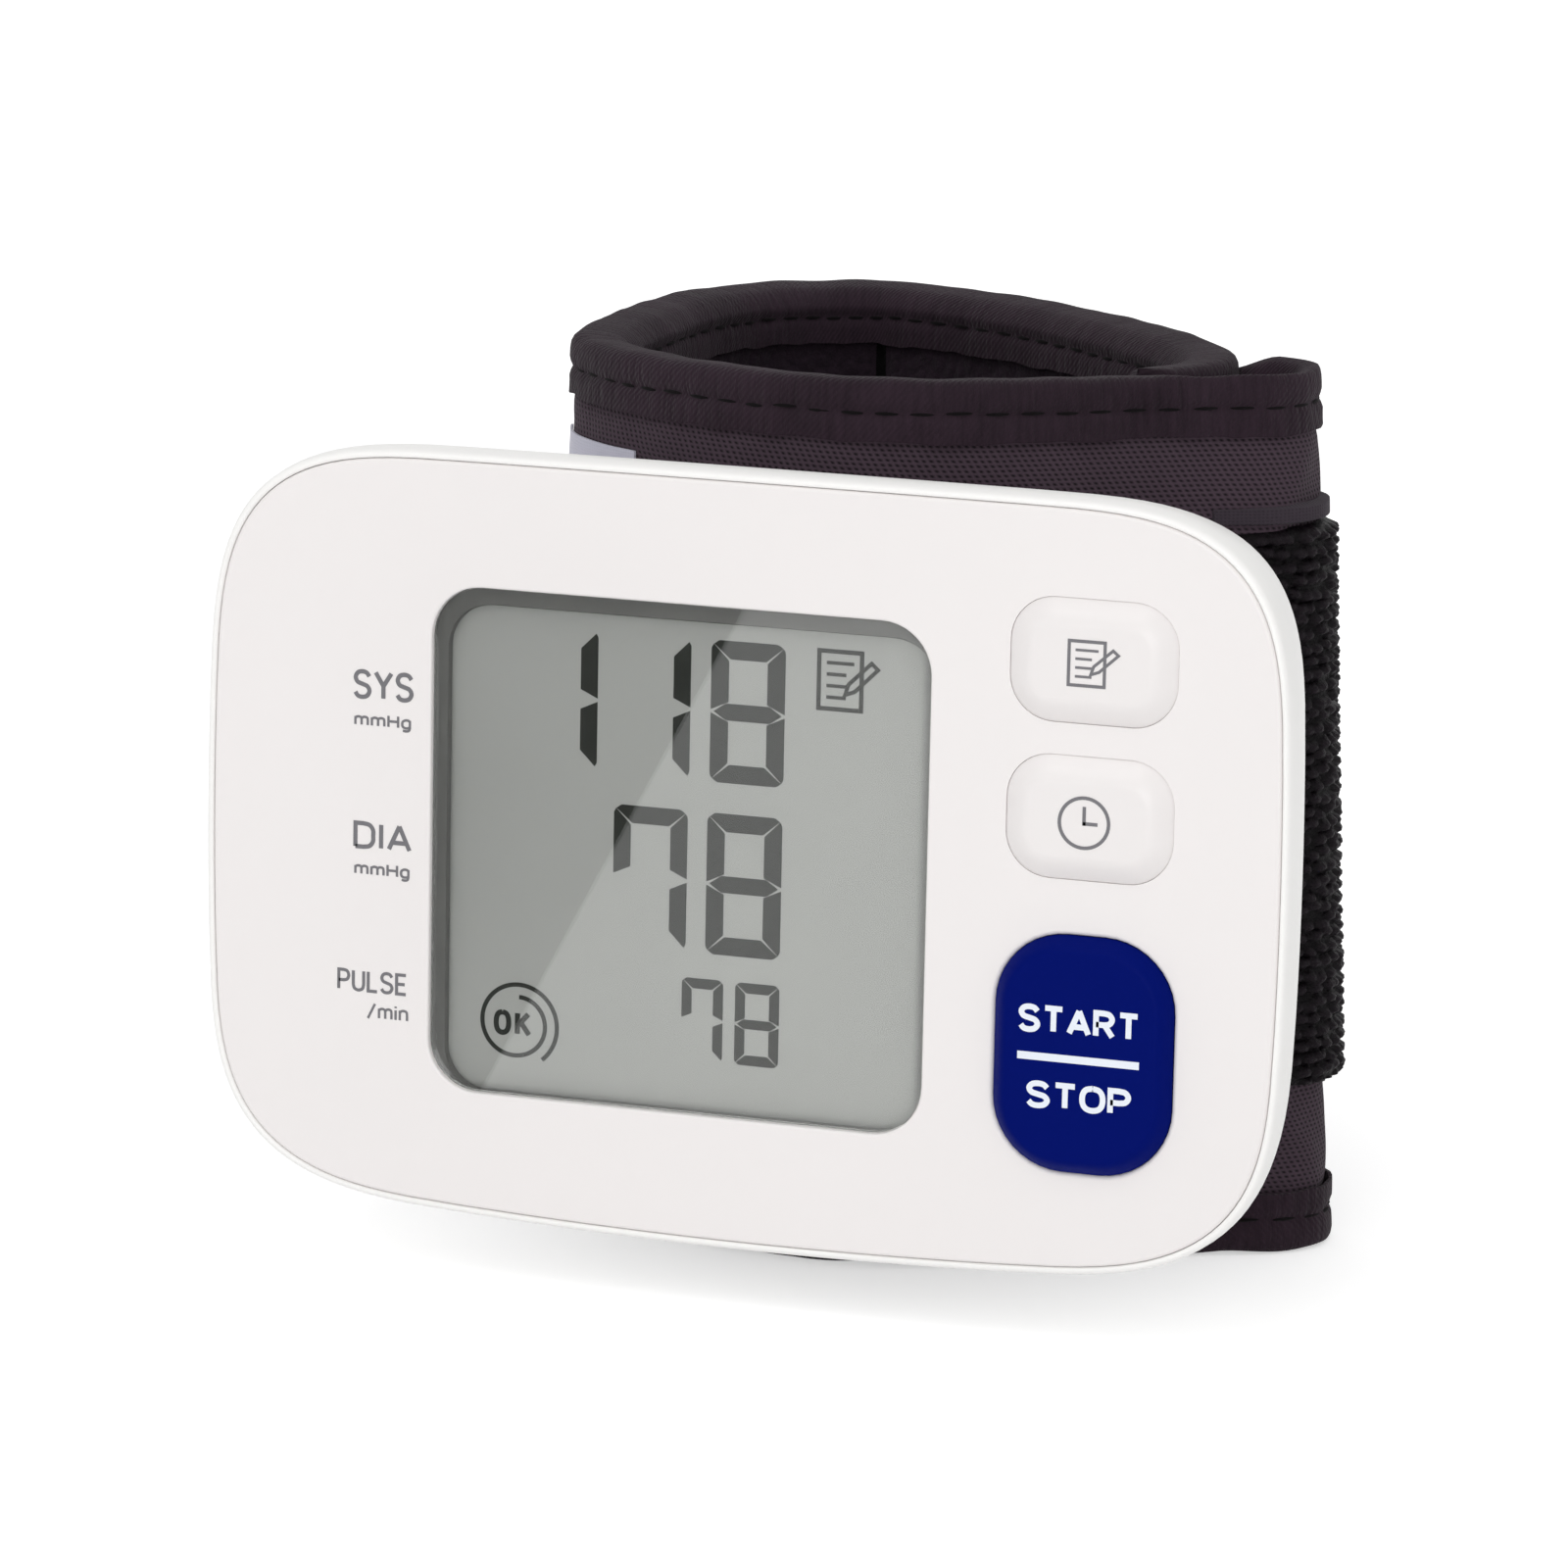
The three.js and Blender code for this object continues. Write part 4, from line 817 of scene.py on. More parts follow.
class MONITOR_OT_stage(bpy.types.Operator):
    """Sets the floor, the soft studio light and the camera"""

    bl_idname = "monitor.stage"
    bl_label = "Stage, Light and Camera"

    def execute(self, context):
        scene, stage = context.scene, context.scene.monitor_stage
        scene.view_settings.view_transform = "Standard"
        self.add_floor(stage)
        self.add_sky(scene, stage)
        self.add_lamp("main_lamp", (-0.1, -0.62, 0.9), 0.6, stage.key_power)
        self.add_lamp("front_lamp", (0.25, -0.95, 0.12), 0.6, stage.front_power)
        self.add_window_card()
        self.add_camera(scene)
        return {"FINISHED"}

    def add_floor(self, stage):
        floor = add_shape("floor", bpy.ops.mesh.primitive_plane_add, size=1, location=(0, -0.5, 0))
        edit_all(floor)
        bpy.ops.transform.resize(value=(8, 5, 1))
        bpy.ops.mesh.select_all(action="DESELECT")
        mesh = bmesh.from_edit_mesh(floor.data)
        for edge in mesh.edges:
            edge.select = all(v.co.y > 0 for v in edge.verts)
        bmesh.update_edit_mesh(floor.data)
        for turn in range(1, 13):
            angle = math.pi / 2 * turn / 12
            bpy.ops.mesh.extrude_region_move(TRANSFORM_OT_translate={
                "value": (0, 0.12 * math.cos(angle), 0.12 * math.sin(angle)),
            })
        bpy.ops.mesh.extrude_region_move(TRANSFORM_OT_translate={"value": (0, 0, 3)})
        leave_edit()
        bpy.ops.object.transform_apply()
        floor.data.materials.append(even_finish(
            "Painted board white", stage.floor_colour, (3.0, 3.0, 0.995, 1.0), MATT,
            cover=self.glow,
        ))
        soften(floor, 60)

    def glow(self, tree, shader):
        """Lifts the floor to white where it is seen, and puts no light on the object."""
        level = add_node(tree, "Math", {0: seen_directly(tree), 1: 0.5}, operation="MULTIPLY")
        return add_node(tree, "AddShader", {
            0: shader, 1: add_node(tree, "Emission", {"Strength": level}),
        })

    def add_sky(self, scene, stage):
        world = bpy.data.worlds.new("even_sky")
        scene.world = world
        world.use_nodes = True
        tree = world.node_tree
        tree.nodes.clear()
        soft, white = (
            add_node(tree, "Background", {"Color": (1, 1, 1, 1), "Strength": strength})
            for strength in (stage.sky_strength, 1.0)
        )
        add_node(tree, "OutputWorld", {
            "Surface": add_node(tree, "MixShader", {0: seen_directly(tree), 1: soft, 2: white}),
        })

    def add_lamp(self, name, place, size, power):
        aim = Vector((0, -0.01, 0.035)) - Vector(place)
        lamp = add_shape(
            name, bpy.ops.object.light_add, type="AREA", location=place,
            rotation=aim.to_track_quat("-Z", "Y").to_euler(),
        )
        lamp.data.shape = "DISK"
        lamp.data.size = size
        lamp.data.energy = power

    def add_window_card(self):
        """A dark card that only polished faces show: it stands low in front of the window, where
        the pane mirrors it over the left of the display and ends in a slanting edge."""
        pane_y = FACE_Y + PANE_FRONT * MM
        mirror = Vector((CAMERA_PLACE.x, 2 * pane_y - CAMERA_PLACE.y, CAMERA_PLACE.z))
        card = add_shape("window_card", bpy.ops.mesh.primitive_plane_add, size=1)
        edge = [(-27.5, -22.5), (-22.45, -22.5), (-27.5, 24.0), (1.9, 24.0)]
        for vertex, (x, z) in zip(card.data.vertices, edge):
            vertex.co = mirror + (at(x, PANE_FRONT, z) - mirror) * 1.06
        card.data.materials.append(
            even_finish("Card matt grey", (1, 1, 1), (2.0, 3.0, 0.21, 0.23), MATT),
        )
        for ray in ("camera", "diffuse", "shadow", "volume_scatter"):
            setattr(card, "visible_" + ray, False)

    def add_camera(self, scene):
        data = bpy.data.cameras.new("camera")
        camera = bpy.data.objects.new("camera", data)
        scene.collection.objects.link(camera)
        turn = Matrix(CAMERA_AXES).transposed().to_4x4()
        camera.matrix_world = Matrix.Translation(CAMERA_PLACE) @ turn
        data.lens = CAMERA_LENS
        data.sensor_width = 36.0
        data.clip_start = 0.01
        scene.camera = camera


def seen_directly(tree):
    """1 for what the camera, polished faces and glass see, and 0 for light that falls on things."""
    camera, polished, glass = (
        add_node(tree, "LightPath", out=f"Is {ray} Ray")
        for ray in ("Camera", "Glossy", "Transmission")
    )
    either = add_node(tree, "Math", {0: camera, 1: polished}, operation="MAXIMUM")
    return add_node(tree, "Math", {0: either, 1: glass}, operation="MAXIMUM")


class MONITOR_OT_case(bpy.types.Operator):
    """Makes the face plate, the rear shell with its cell bay, and the sliding battery cover"""

    bl_idname = "monitor.case"
    bl_label = "Case"

    def execute(self, context):
        case = context.scene.monitor_case
        self.add_face(case)
        self.add_shell()
        self.add_door()
        return {"FINISHED"}

    def add_face(self, case):
        edge = [(1.4, 0.12), (0.34, 0.12)]
        for turn in map(math.radians, (20, 40, 60, 75, 90)):
            edge.append((0.34 * (1 - math.sin(turn)), 0.12 - 0.32 * (1 - math.cos(turn))))
        face = case_solid(edge)
        openings = [self.opening(WINDOW, 0.0, case.mouth_round / MM)]
        for name, key in KEYS.items():
            mouth = case.start_mouth if name == "start" else case.key_mouth
            openings.append(self.opening(key, case.key_gap / MM, mouth / MM))
        carve(face, *openings)
        dress(
            face, "face_plate", "case", "front_case_plastic", "monitor",
            ["front_case"], 40, True,
        )

    def opening(self, shape, gap, mouth):
        levels = [(-2.0, gap + mouth)]
        for turn in map(math.radians, (0, 22, 45, 68, 90)):
            levels.append((mouth * (1 - math.cos(turn)), gap + mouth * (1 - math.sin(turn))))
        levels.append((4.0, gap))
        return frame_solid(shape, levels)

    def add_shell(self):
        shell = carve(shell_wall(), rods(POST_RADIUS, POSTS, 10.8, 15.6), operation="UNION")
        half = DOOR_HALF + DOOR_GAP
        carve(
            shell, block(-52, BAY_X + DOOR_GAP, DOOR_FRONT - DOOR_GAP, 21, -half, half),
            rods(POST_HEAD, POSTS, 14.3, 21), rods(POST_BORE, POSTS, 8, 21),
        )
        dress(
            shell, "rear_shell", "shell", "rear_case_plastic", "monitor", ["rear_case"], 40, True,
        )
        bay = block(-52, BAY_X + BAY_WALL, 4.3, 15.3, -BAY_HALF - BAY_WALL, BAY_HALF + BAY_WALL)
        carve(bay, block(-60, BAY_X, 3, 22, -BAY_HALF, BAY_HALF))
        room = case_solid(room_levels(SHELL_SHARES, CASE_WALL - 0.4))
        carve(bay, room, operation="INTERSECT")
        use_modifier(bay, "BEVEL", width=0.15 * MM, segments=2, limit_method="ANGLE")
        dress(bay, "cell_bay", "shell", "rear_case_plastic", "monitor")

    def add_door(self):
        door = carve(
            shell_wall(), block(-52, BAY_X, DOOR_FRONT, 21, -DOOR_HALF, DOOR_HALF),
            operation="INTERSECT",
        )
        grips = [
            block(
                CELL_X[0] + n * 1.8 - 0.35, CELL_X[0] + n * 1.8 + 0.35, CASE_DEPTH - 0.3, 20,
                -6 + abs(n), 6 - abs(n),
            ) for n in range(-2, 3)
        ]
        carve(door, joined(*grips))
        use_modifier(
            door, "BEVEL", width=0.12 * MM, segments=2, limit_method="ANGLE",
            angle_limit=math.radians(50),
        )
        dress(
            door, "battery_door", "shell", "rear_case_plastic", "battery_door",
            ["battery_cover"], 40, True,
        )


class MONITOR_OT_keys(bpy.types.Operator):
    """Makes the three pillow-shaped keys"""

    bl_idname = "monitor.keys"
    bl_label = "Keys"

    def execute(self, context):
        case = context.scene.monitor_case
        rise, wide = case.key_rise / MM, case.key_edge / MM
        for name, key in KEYS.items():
            edge = wide * (0.6 if name == "start" else 1.0)
            foot = 0.12
            levels = [(2.3, 1.2), (1.7, 1.2), (1.7, 0.0), (foot + 0.3, 0.0)]
            for share in (i / 14 for i in range(15)):
                levels.append((foot - (rise + foot) * math.sin(math.pi / 2 * share), -edge * share))
            dress(
                frame_solid(key, levels), f"{name}_pillow_key",
                *(("start_key", "key_blue") if name == "start" else ("small_key", "key_white")),
                f"{name}_button", [f"{name}_key"], 30, True,
            )
        return {"FINISHED"}


def flat_shapes(name, outlines, y, rise):
    """Flat printed shapes: a filled circle of corners for each outline, its corners moved onto
    the outline, then all raised to the thickness of the print."""
    piece = add_shape(
        name, bpy.ops.mesh.primitive_circle_add, vertices=len(outlines[0]), fill_type="NGON",
    )
    edit_all(piece)
    for outline in outlines[1:]:
        bpy.ops.mesh.primitive_circle_add(vertices=len(outline), fill_type="NGON")
    mesh = bmesh.from_edit_mesh(piece.data)
    mesh.verts.ensure_lookup_table()
    corners = [corner for outline in outlines for corner in outline]
    for vertex, (x, z) in zip(mesh.verts, corners):
        vertex.co = at(x, y, z)
    bmesh.update_edit_mesh(piece.data)
    bpy.ops.mesh.select_all(action="SELECT")
    bpy.ops.mesh.extrude_region_move(TRANSFORM_OT_translate={"value": (0, -rise, 0)})
    bpy.ops.mesh.select_all(action="SELECT")
    bpy.ops.mesh.normals_make_consistent(inside=False)
    leave_edit()
    return piece


def printed_line(name, points, width, y, rise, closed=False):
    """A line of even width through points, as thin raised print."""
    centre = [Vector(p) for p in points]
    last = len(centre) - 1
    rows = []
    for i, point in enumerate(centre):
        behind = centre[i - 1] if i or closed else point
        ahead = centre[(i + 1) % len(centre)] if i < last or closed else point
        before, after = (point - behind).normalized(), (ahead - point).normalized()
        run = (before + after).normalized()
        spread = max(run.dot(after if after.length else before), 0.45)
        side = Vector((-run.y, run.x)) * width / 2 / spread
        rows.append([point + side, point - side])
    if closed:
        rows.append(rows[0])
    back, front = y, y - rise / MM
    laid = [[
        at(a.x, back, a.y), at(a.x, front, a.y), at(b.x, front, b.y), at(b.x, back, b.y),
    ] for a, b in rows]
    return lay_grid(name, laid, closed=True, caps=not closed)


def bow(*points):
    """A smooth stroke through a few points of a letter."""
    return [tuple(p) for p in curve_through(points, 5)]


# Plain letters as strokes, one unit high and without the width of the pen
ARCH = ((0, 0.52), (0.06, 0.67), (0.2, 0.72), (0.33, 0.65), (0.36, 0.45))
LETTERS = {
    "S": (0.54, [bow(
        (0.53, 0.82), (0.43, 0.96), (0.27, 1), (0.1, 0.95), (0.01, 0.77), (0.08, 0.59),
        (0.27, 0.51), (0.46, 0.43), (0.54, 0.25), (0.45, 0.06), (0.27, 0), (0.1, 0.04), (0, 0.18),
    )]),
    "Y": (0.6, [[(0, 1), (0.3, 0.48)], [(0.6, 1), (0.3, 0.48)], [(0.3, 0.52), (0.3, 0)]]),
    "D": (0.54, [[(0, 0), (0, 1), *bow(
        (0.24, 1), (0.42, 0.95), (0.53, 0.76), (0.54, 0.5), (0.53, 0.24), (0.42, 0.05), (0.24, 0),
    ), (0, 0)]]),
    "I": (0, [[(0, 0), (0, 1)]]),
    "A": (0.62, [[(0, 0), (0.31, 1)], [(0.62, 0), (0.31, 1)], [(0.1, 0.29), (0.52, 0.29)]]),
    "P": (0.52, [[(0, 0), (0, 1), *bow(
        (0.26, 1), (0.43, 0.95), (0.52, 0.73), (0.43, 0.51), (0.26, 0.46),
    ), (0, 0.46)]]),
    "U": (0.54, [[(0, 1), *bow(
        (0, 0.3), (0.06, 0.09), (0.27, 0), (0.48, 0.09), (0.54, 0.3),
    ), (0.54, 1)]]),
    "L": (0.46, [[(0, 1), (0, 0), (0.46, 0)]]),
    "E": (0.48, [[(0.48, 1), (0, 1), (0, 0), (0.48, 0)], [(0, 0.51), (0.42, 0.51)]]),
    "T": (0.56, [[(0, 1), (0.56, 1)], [(0.28, 1), (0.28, 0)]]),
    "R": (0.54, [[(0, 0), (0, 1), *bow(
        (0.26, 1), (0.43, 0.95), (0.52, 0.75), (0.43, 0.54), (0.26, 0.49),
    ), (0, 0.49)], [(0.28, 0.49), (0.54, 0)]]),
    "O": (0.56, [bow(
        (0.28, 1), (0.1, 0.93), (0, 0.72), (0, 0.28), (0.1, 0.07), (0.28, 0), (0.46, 0.07),
        (0.56, 0.28), (0.56, 0.72), (0.46, 0.93), (0.28, 1),
    )]),
    "K": (0.54, [[(0, 0), (0, 1)], [(0.5, 1), (0, 0.38)], [(0.16, 0.56), (0.54, 0)]]),
    "H": (0.56, [[(0, 0), (0, 1)], [(0.56, 0), (0.56, 1)], [(0, 0.51), (0.56, 0.51)]]),
    "m": (0.72, [
        [(0, 0), (0, 0.72)], [*bow(*ARCH), (0.36, 0)],
        [*bow(*[(x + 0.36, z) for x, z in ARCH]), (0.72, 0)],
    ]),
    "n": (0.42, [[(0, 0), (0, 0.72)], [*bow(
        (0, 0.5), (0.07, 0.67), (0.22, 0.72), (0.38, 0.65), (0.42, 0.45),
    ), (0.42, 0)]]),
    "g": (0.44, [
        bow(
            (0.44, 0.6), (0.36, 0.7), (0.2, 0.72), (0.05, 0.6), (0, 0.36), (0.05, 0.1), (0.2, 0),
            (0.36, 0.03), (0.44, 0.12),
        ),
        [(0.44, 0.72), *bow((0.44, 0), (0.38, -0.22), (0.22, -0.28), (0.04, -0.24))],
    ]),
    "i": (0, [[(0, 0), (0, 0.72)], [(0, 0.88), (0, 1)]]),
    "/": (0.4, [[(0, -0.08), (0.4, 1.05)]]),
}


def printed_word(text, x0, x1, z0, z1, y, rise, pen):
    """A word in plain letters of even strokes, fitted to a box on the face."""
    space = 0.24
    length = sum(LETTERS[c][0] + space for c in text) - space
    stretch, high = (x1 - x0 - pen) / length, z1 - z0 - pen
    strokes, start = [], 0.0
    for character in text:
        width, lines = LETTERS[character]
        for line in lines:
            places = [
                (x0 + pen / 2 + (start + a) * stretch, z0 + pen / 2 + b * high) for a, b in line
            ]
            level = y - 0.003 * (len(strokes) % 5)
            strokes.append(printed_line("stroke", places, pen, level, rise))
        start += width + space
    return joined(*strokes)


def spiral(cx, cz, radius, growth, start, end, count):
    """Places along an arc whose radius may grow, its two ends given as angles in degrees."""
    places = []
    for share in (i / count for i in range(count + 1)):
        turn, reach = math.radians(start + (end - start) * share), radius + growth * share
        places.append((cx + reach * math.cos(turn), cz + reach * math.sin(turn)))
    return places


def page_and_pencil(x0, x1, z0, z1, line, y, rise):
    """A plain pictogram: a ruled page with a pencil lying across its right edge."""
    width, height = x1 - x0, z1 - z0
    parts = [printed_line("page", [(x0, z0), (x1, z0), (x1, z1), (x0, z1)], line, y, rise, True)]
    for share in (0.2, 0.4, 0.6, 0.8):
        z = z0 + height * share
        parts.append(printed_line("rule", [
            (x0 + width * 0.18, z), (x1 - width * (0.18 if share > 0.7 else 0.36), z),
        ], line * 0.8, y, rise))
    tip = (x0 + width * 0.62, z0 + height * 0.26)
    reach = (width * 0.76, height * 0.58)
    parts.append(printed_line("pencil", [
        tip, (tip[0] + reach[0] * 0.3, tip[1] + reach[1] * 0.12),
        (tip[0] + reach[0], tip[1] + reach[1] * 0.82), (tip[0] + reach[0] * 0.8, tip[1] + reach[1]),
        (tip[0] + reach[0] * 0.1, tip[1] + reach[1] * 0.32),
    ], line * 0.9, y - 0.006, rise, True))
    return parts


class MONITOR_OT_prints(bpy.types.Operator):
    """Prints the words of the readings on the face, and the words and pictures on the keys"""

    bl_idname = "monitor.prints"
    bl_label = "Face and Key Prints"

    def execute(self, context):
        case = context.scene.monitor_case
        rise = case.print_rise
        face, top = -0.005, -case.key_rise / MM - 0.005
        words = [
            printed_word(word, x0, x1, z0, z1, face, rise, pen)
            for word, x0, x1, z0, z1, pen in (
                ("SYS", -32.6, -27.4, 10.95, 13.4, 0.36), ("mmHg", -32.5, -27.6, 8.75, 9.85, 0.2),
                ("DIA", -32.5, -27.45, -1.4, 0.9, 0.36), ("mmHg", -32.4, -27.6, -3.55, -2.45, 0.2),
                ("PULSE", -33.8, -27.7, -13.3, -11.45, 0.26),
                ("/min", -31.2, -27.6, -15.45, -14.15, 0.2),
            )
        ]
        dress(joined(*words), "face_words", "ink", "front_case_plastic", "monitor")
        start = joined(
            printed_word("START", 24.2, 34.15, -10.85, -8.55, top, rise, 0.46),
            printed_word("STOP", 25.0, 33.6, -16.95, -14.7, top, rise, 0.46),
            printed_line("bar", [(24.2, -12.75), (34.15, -12.75)], 0.62, top, rise),
        )
        dress(start, "start_words", "key_ink", "key_blue", "start_button")
        memory = joined(*page_and_pencil(27.5, 30.4, 17.2, 20.7, 0.26, top, rise))
        dress(memory, "memory_picture", "ink", "key_white", "memory_button")
        clock = joined(
            printed_line("dial", spiral(29.1, 6.3, 2.0, 0.0, 0, 352, 44), 0.28, top, rise, True),
            printed_line("minutes", [(29.1, 6.1), (29.1, 7.6)], 0.28, top, rise),
            printed_line("hours", [(29.0, 6.25), (30.2, 6.25)], 0.28, top, rise),
        )
        dress(clock, "clock_picture", "ink", "key_white", "clock_button")
        return {"FINISHED"}


def digit(segments, x0, x1, z0, z1, bar, gap):
    """Outlines of a figure's display segments: mitred bars with the outer edge long."""
    middle = (z0 + z1) / 2
    inner0, inner1, soft = x0 + bar, x1 - bar, bar * 0.35
    half = bar * 0.46
    shapes = {"g": [
        (x0 + gap * 2, middle), (x0 + bar * 0.75 + gap, middle + half),
        (x1 - bar * 0.75 - gap, middle + half), (x1 - gap * 2, middle),
        (x1 - bar * 0.75 - gap, middle - half), (x0 + bar * 0.75 + gap, middle - half),
    ]}
    for name, end, side in (("a", z1, 1), ("d", z0, -1)):
        slope = end - side * (gap * 0.8 + soft * 0.4)
        shapes[name] = [
            (x0 + soft + gap, end), (x1 - soft - gap, end), (x1 - gap * 1.6, slope),
            (inner1 - gap, end - side * bar), (inner0 + gap, end - side * bar),
            (x0 + gap * 1.6, slope),
        ]
    for name, outer, inner, end, side in (
        ("b", x1, inner1, z1, 1), ("c", x1, inner1, z0, -1),
        ("f", x0, inner0, z1, 1), ("e", x0, inner0, z0, -1),
    ):
        near = middle + side * gap
        shapes[name] = [
            (outer, near), (outer, end - side * (soft + gap)),
            (outer + (inner - outer) * 0.12, end - side * (gap + soft * 0.35)),
            (inner, end - side * (bar + gap)), (inner, near + side * half),
        ]
    return [shapes[s] for s in segments]


class MONITOR_OT_window(bpy.types.Operator):
    """Makes the clear window, its seal, the display and its figures"""

    bl_idname = "monitor.window"
    bl_label = "Window and Display"

    def execute(self, context):
        window = context.scene.monitor_window
        edge = window.lens_edge / MM
        lens = frame_solid(WINDOW, [
            (1.4, -0.07), (PANE_FRONT + edge, -0.07),
            (PANE_FRONT + edge * 0.3, -0.07 - edge * 0.3), (PANE_FRONT, -0.07 - edge),
        ])
        dress(lens, "clear_window", "lens", "window_acrylic", "monitor", ["window_lens"], 20)
        # The seal's opening sits right of and below the window, so the dark seal shows only along
        # the left and the top: a dark band placed as painted shade
        seal = frame_solid(WINDOW, [(1.7, 0.8), (1.8, 0.84), (2.2, 0.84), (2.3, 0.8)])
        painted_shade_opening = {"x": WINDOW["x"] + 0.55, "z": -0.85, "width": 40.9, "height": 40.1, "corner": 3.6}
        carve(seal, frame_solid(painted_shade_opening, [(0, 0.15), (1.72, 0.1), (1.95, 0), (4, 0)]))
        dress(seal, "window_seal", "gasket", "gasket_foam", "monitor", ["window_gasket"])
        panel = {**WINDOW, "width": 44.1, "height": 43.2, "corner": 0.6}
        glass = frame_solid(panel, [(3.8, -0.1), (3.7, 0), (2.7, 0), (2.6, -0.1)])
        dress(glass, "display_panel", "display", "display_panel", "monitor", ["display_glass"])
        outlines = []
        for segments, x0, x1, z0, z1, bar in (
            ("bc", -18.6, -12.5, 6.3, 17.75, 1.45), ("bc", -10.9, -4.65, 6.2, 17.7, 1.45),
            ("abcdefg", -2.95, 3.27, 6.2, 17.75, 1.5), ("abcf", -10.96, -4.7, -7.9, 3.7, 1.45),
            ("abcdefg", -3.05, 3.27, -7.9, 3.7, 1.5), ("abcf", -4.96, -1.45, -16.8, -10.0, 0.85),
            ("abcdefg", -0.43, 3.3, -16.8, -10.0, 0.85),
        ):
            outlines += digit(segments, x0, x1, z0, z1, bar, 0.13 if bar > 1 else 0.09)
        rise, y = window.segment_rise, 2.595
        figures = flat_shapes("figures", outlines, y, rise)
        symbols = page_and_pencil(6.05, 9.6, 12.95, 17.6, 0.36, y, rise)
        coil = spiral(-19.05, -15.2, 2.2, 1.42, 85, -412, 110)
        symbols.append(printed_line("coil", coil, 0.36, y, rise))
        for letter, x0, x1 in (("O", -21.0, -19.55), ("K", -19.2, -17.75)):
            symbols.append(printed_word(letter, x0, x1, -16.3, -14.15, y, rise, 0.44))
        figures = joined(figures, *symbols)
        dress(figures, "display_figures", "segment", "display_panel", "monitor")
        return {"FINISHED"}


SWELL_FRAMES, SWELL_SPARE, SWELL_SCALE = 16, 0.012, 10


def swell(piece, pinned, pressure, cap):
    """Lets a sewn cloth swell between its seams, then limits how far each point has moved.
    The cloth is solved at ten times its size, where the solver is steady."""
    scene = bpy.context.scene
    rest = np.array([v.co for v in piece.data.vertices])
    piece.data.vertices.foreach_set("co", (rest * SWELL_SCALE).ravel())
    group = piece.vertex_groups.new(name="sewn")
    group.add(pinned, 1.0, "REPLACE")
    pick(piece)
    modifier = piece.modifiers.new("Swell", "CLOTH")
    cloth = modifier.settings
    cloth.quality = 6
    cloth.mass = 0.1
    cloth.tension_stiffness = cloth.compression_stiffness = 12
    cloth.bending_stiffness = 0.25
    cloth.vertex_group_mass = "sewn"
    cloth.use_pressure = True
    cloth.uniform_pressure_force = pressure
    cloth.shrink_min = -SWELL_SPARE
    cloth.effector_weights.gravity = 0
    modifier.collision_settings.use_collision = False
    modifier.point_cache.frame_start = 1
    modifier.point_cache.frame_end = SWELL_FRAMES
    for step in range(1, SWELL_FRAMES + 1):
        scene.frame_set(step)
    shaped = piece.evaluated_get(bpy.context.evaluated_depsgraph_get())
    moved = np.array([v.co for v in shaped.data.vertices]) / SWELL_SCALE
    piece.modifiers.remove(modifier)
    piece.vertex_groups.clear()
    scene.frame_set(1)
    shift = np.nan_to_num(moved - rest)
    far = np.linalg.norm(shift, axis=1, keepdims=True)
    limit = cap * MM
    shift *= np.where(far > 1e-9, limit * np.tanh(far / limit) / np.maximum(far, 1e-9), 1.0)
    piece.data.vertices.foreach_set("co", (rest + shift).ravel())
    piece.data.update()
    return piece


def sewn_sheet(name, spots, levels, place, across=None):
    """A cloth sheet along the band: at each spot and level, place gives its depth and height.
    Across holds the levels' places on the flat cloth, where they aren't the levels themselves."""
    rows = [[band_point(along, *place(along, level)) for along in spots] for level in levels]
    flat = [[(along, height) for along in spots] for height in across or levels]
    return lay_grid(name, rows, uvs=flat)


def turn_faces(piece, measure):
    """Flips a sheet whose faces, weighed by their area, look away from where they should."""
    if sum(measure(face) * face.area for face in piece.data.polygons) < 0:
        edit_all(piece)
        bpy.ops.mesh.flip_normals()
        leave_edit()
    return piece


def outward(face):
    """How far a face looks away from the middle of the ring."""
    middle = Vector((RING_X * MM, RING_Y * MM, face.center.z))
    return (face.center - middle).normalized().dot(face.normal)


# Each wrap's side and ends, the bodies it bends between, and where its bend starts and ends
WRAPS = (
    ("back", BAND_START, SEAM_AT, ("monitor", "cuff_back"), (-0.02837, 0.00099),
     (-0.02697, 0.00495)),
    ("front", SEAM_AT, BAND_END, ("monitor", "cuff_tail"), (0.0245, -0.0098), (0.0268, -0.0083)),
)


def cloth_run(wrap):
    """A wrap's cloth stops just short of the seam, and closes on itself at the cuff's own ends."""
    _, start, end = wrap[:3]
    first = start if start == BAND_START else start + SEAM_GAP
    last = end if end == BAND_END else end - SEAM_GAP
    return first, last


def bend_with_cuff(piece):
    """Bakes a wrap's placing into its mesh; the cloth is put on no moving part."""
    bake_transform(piece)


def finish_cloth(piece, name, finish, slot, replaced):
    dress(piece, name, finish, slot, None, replaced, 60)
    bend_with_cuff(piece)


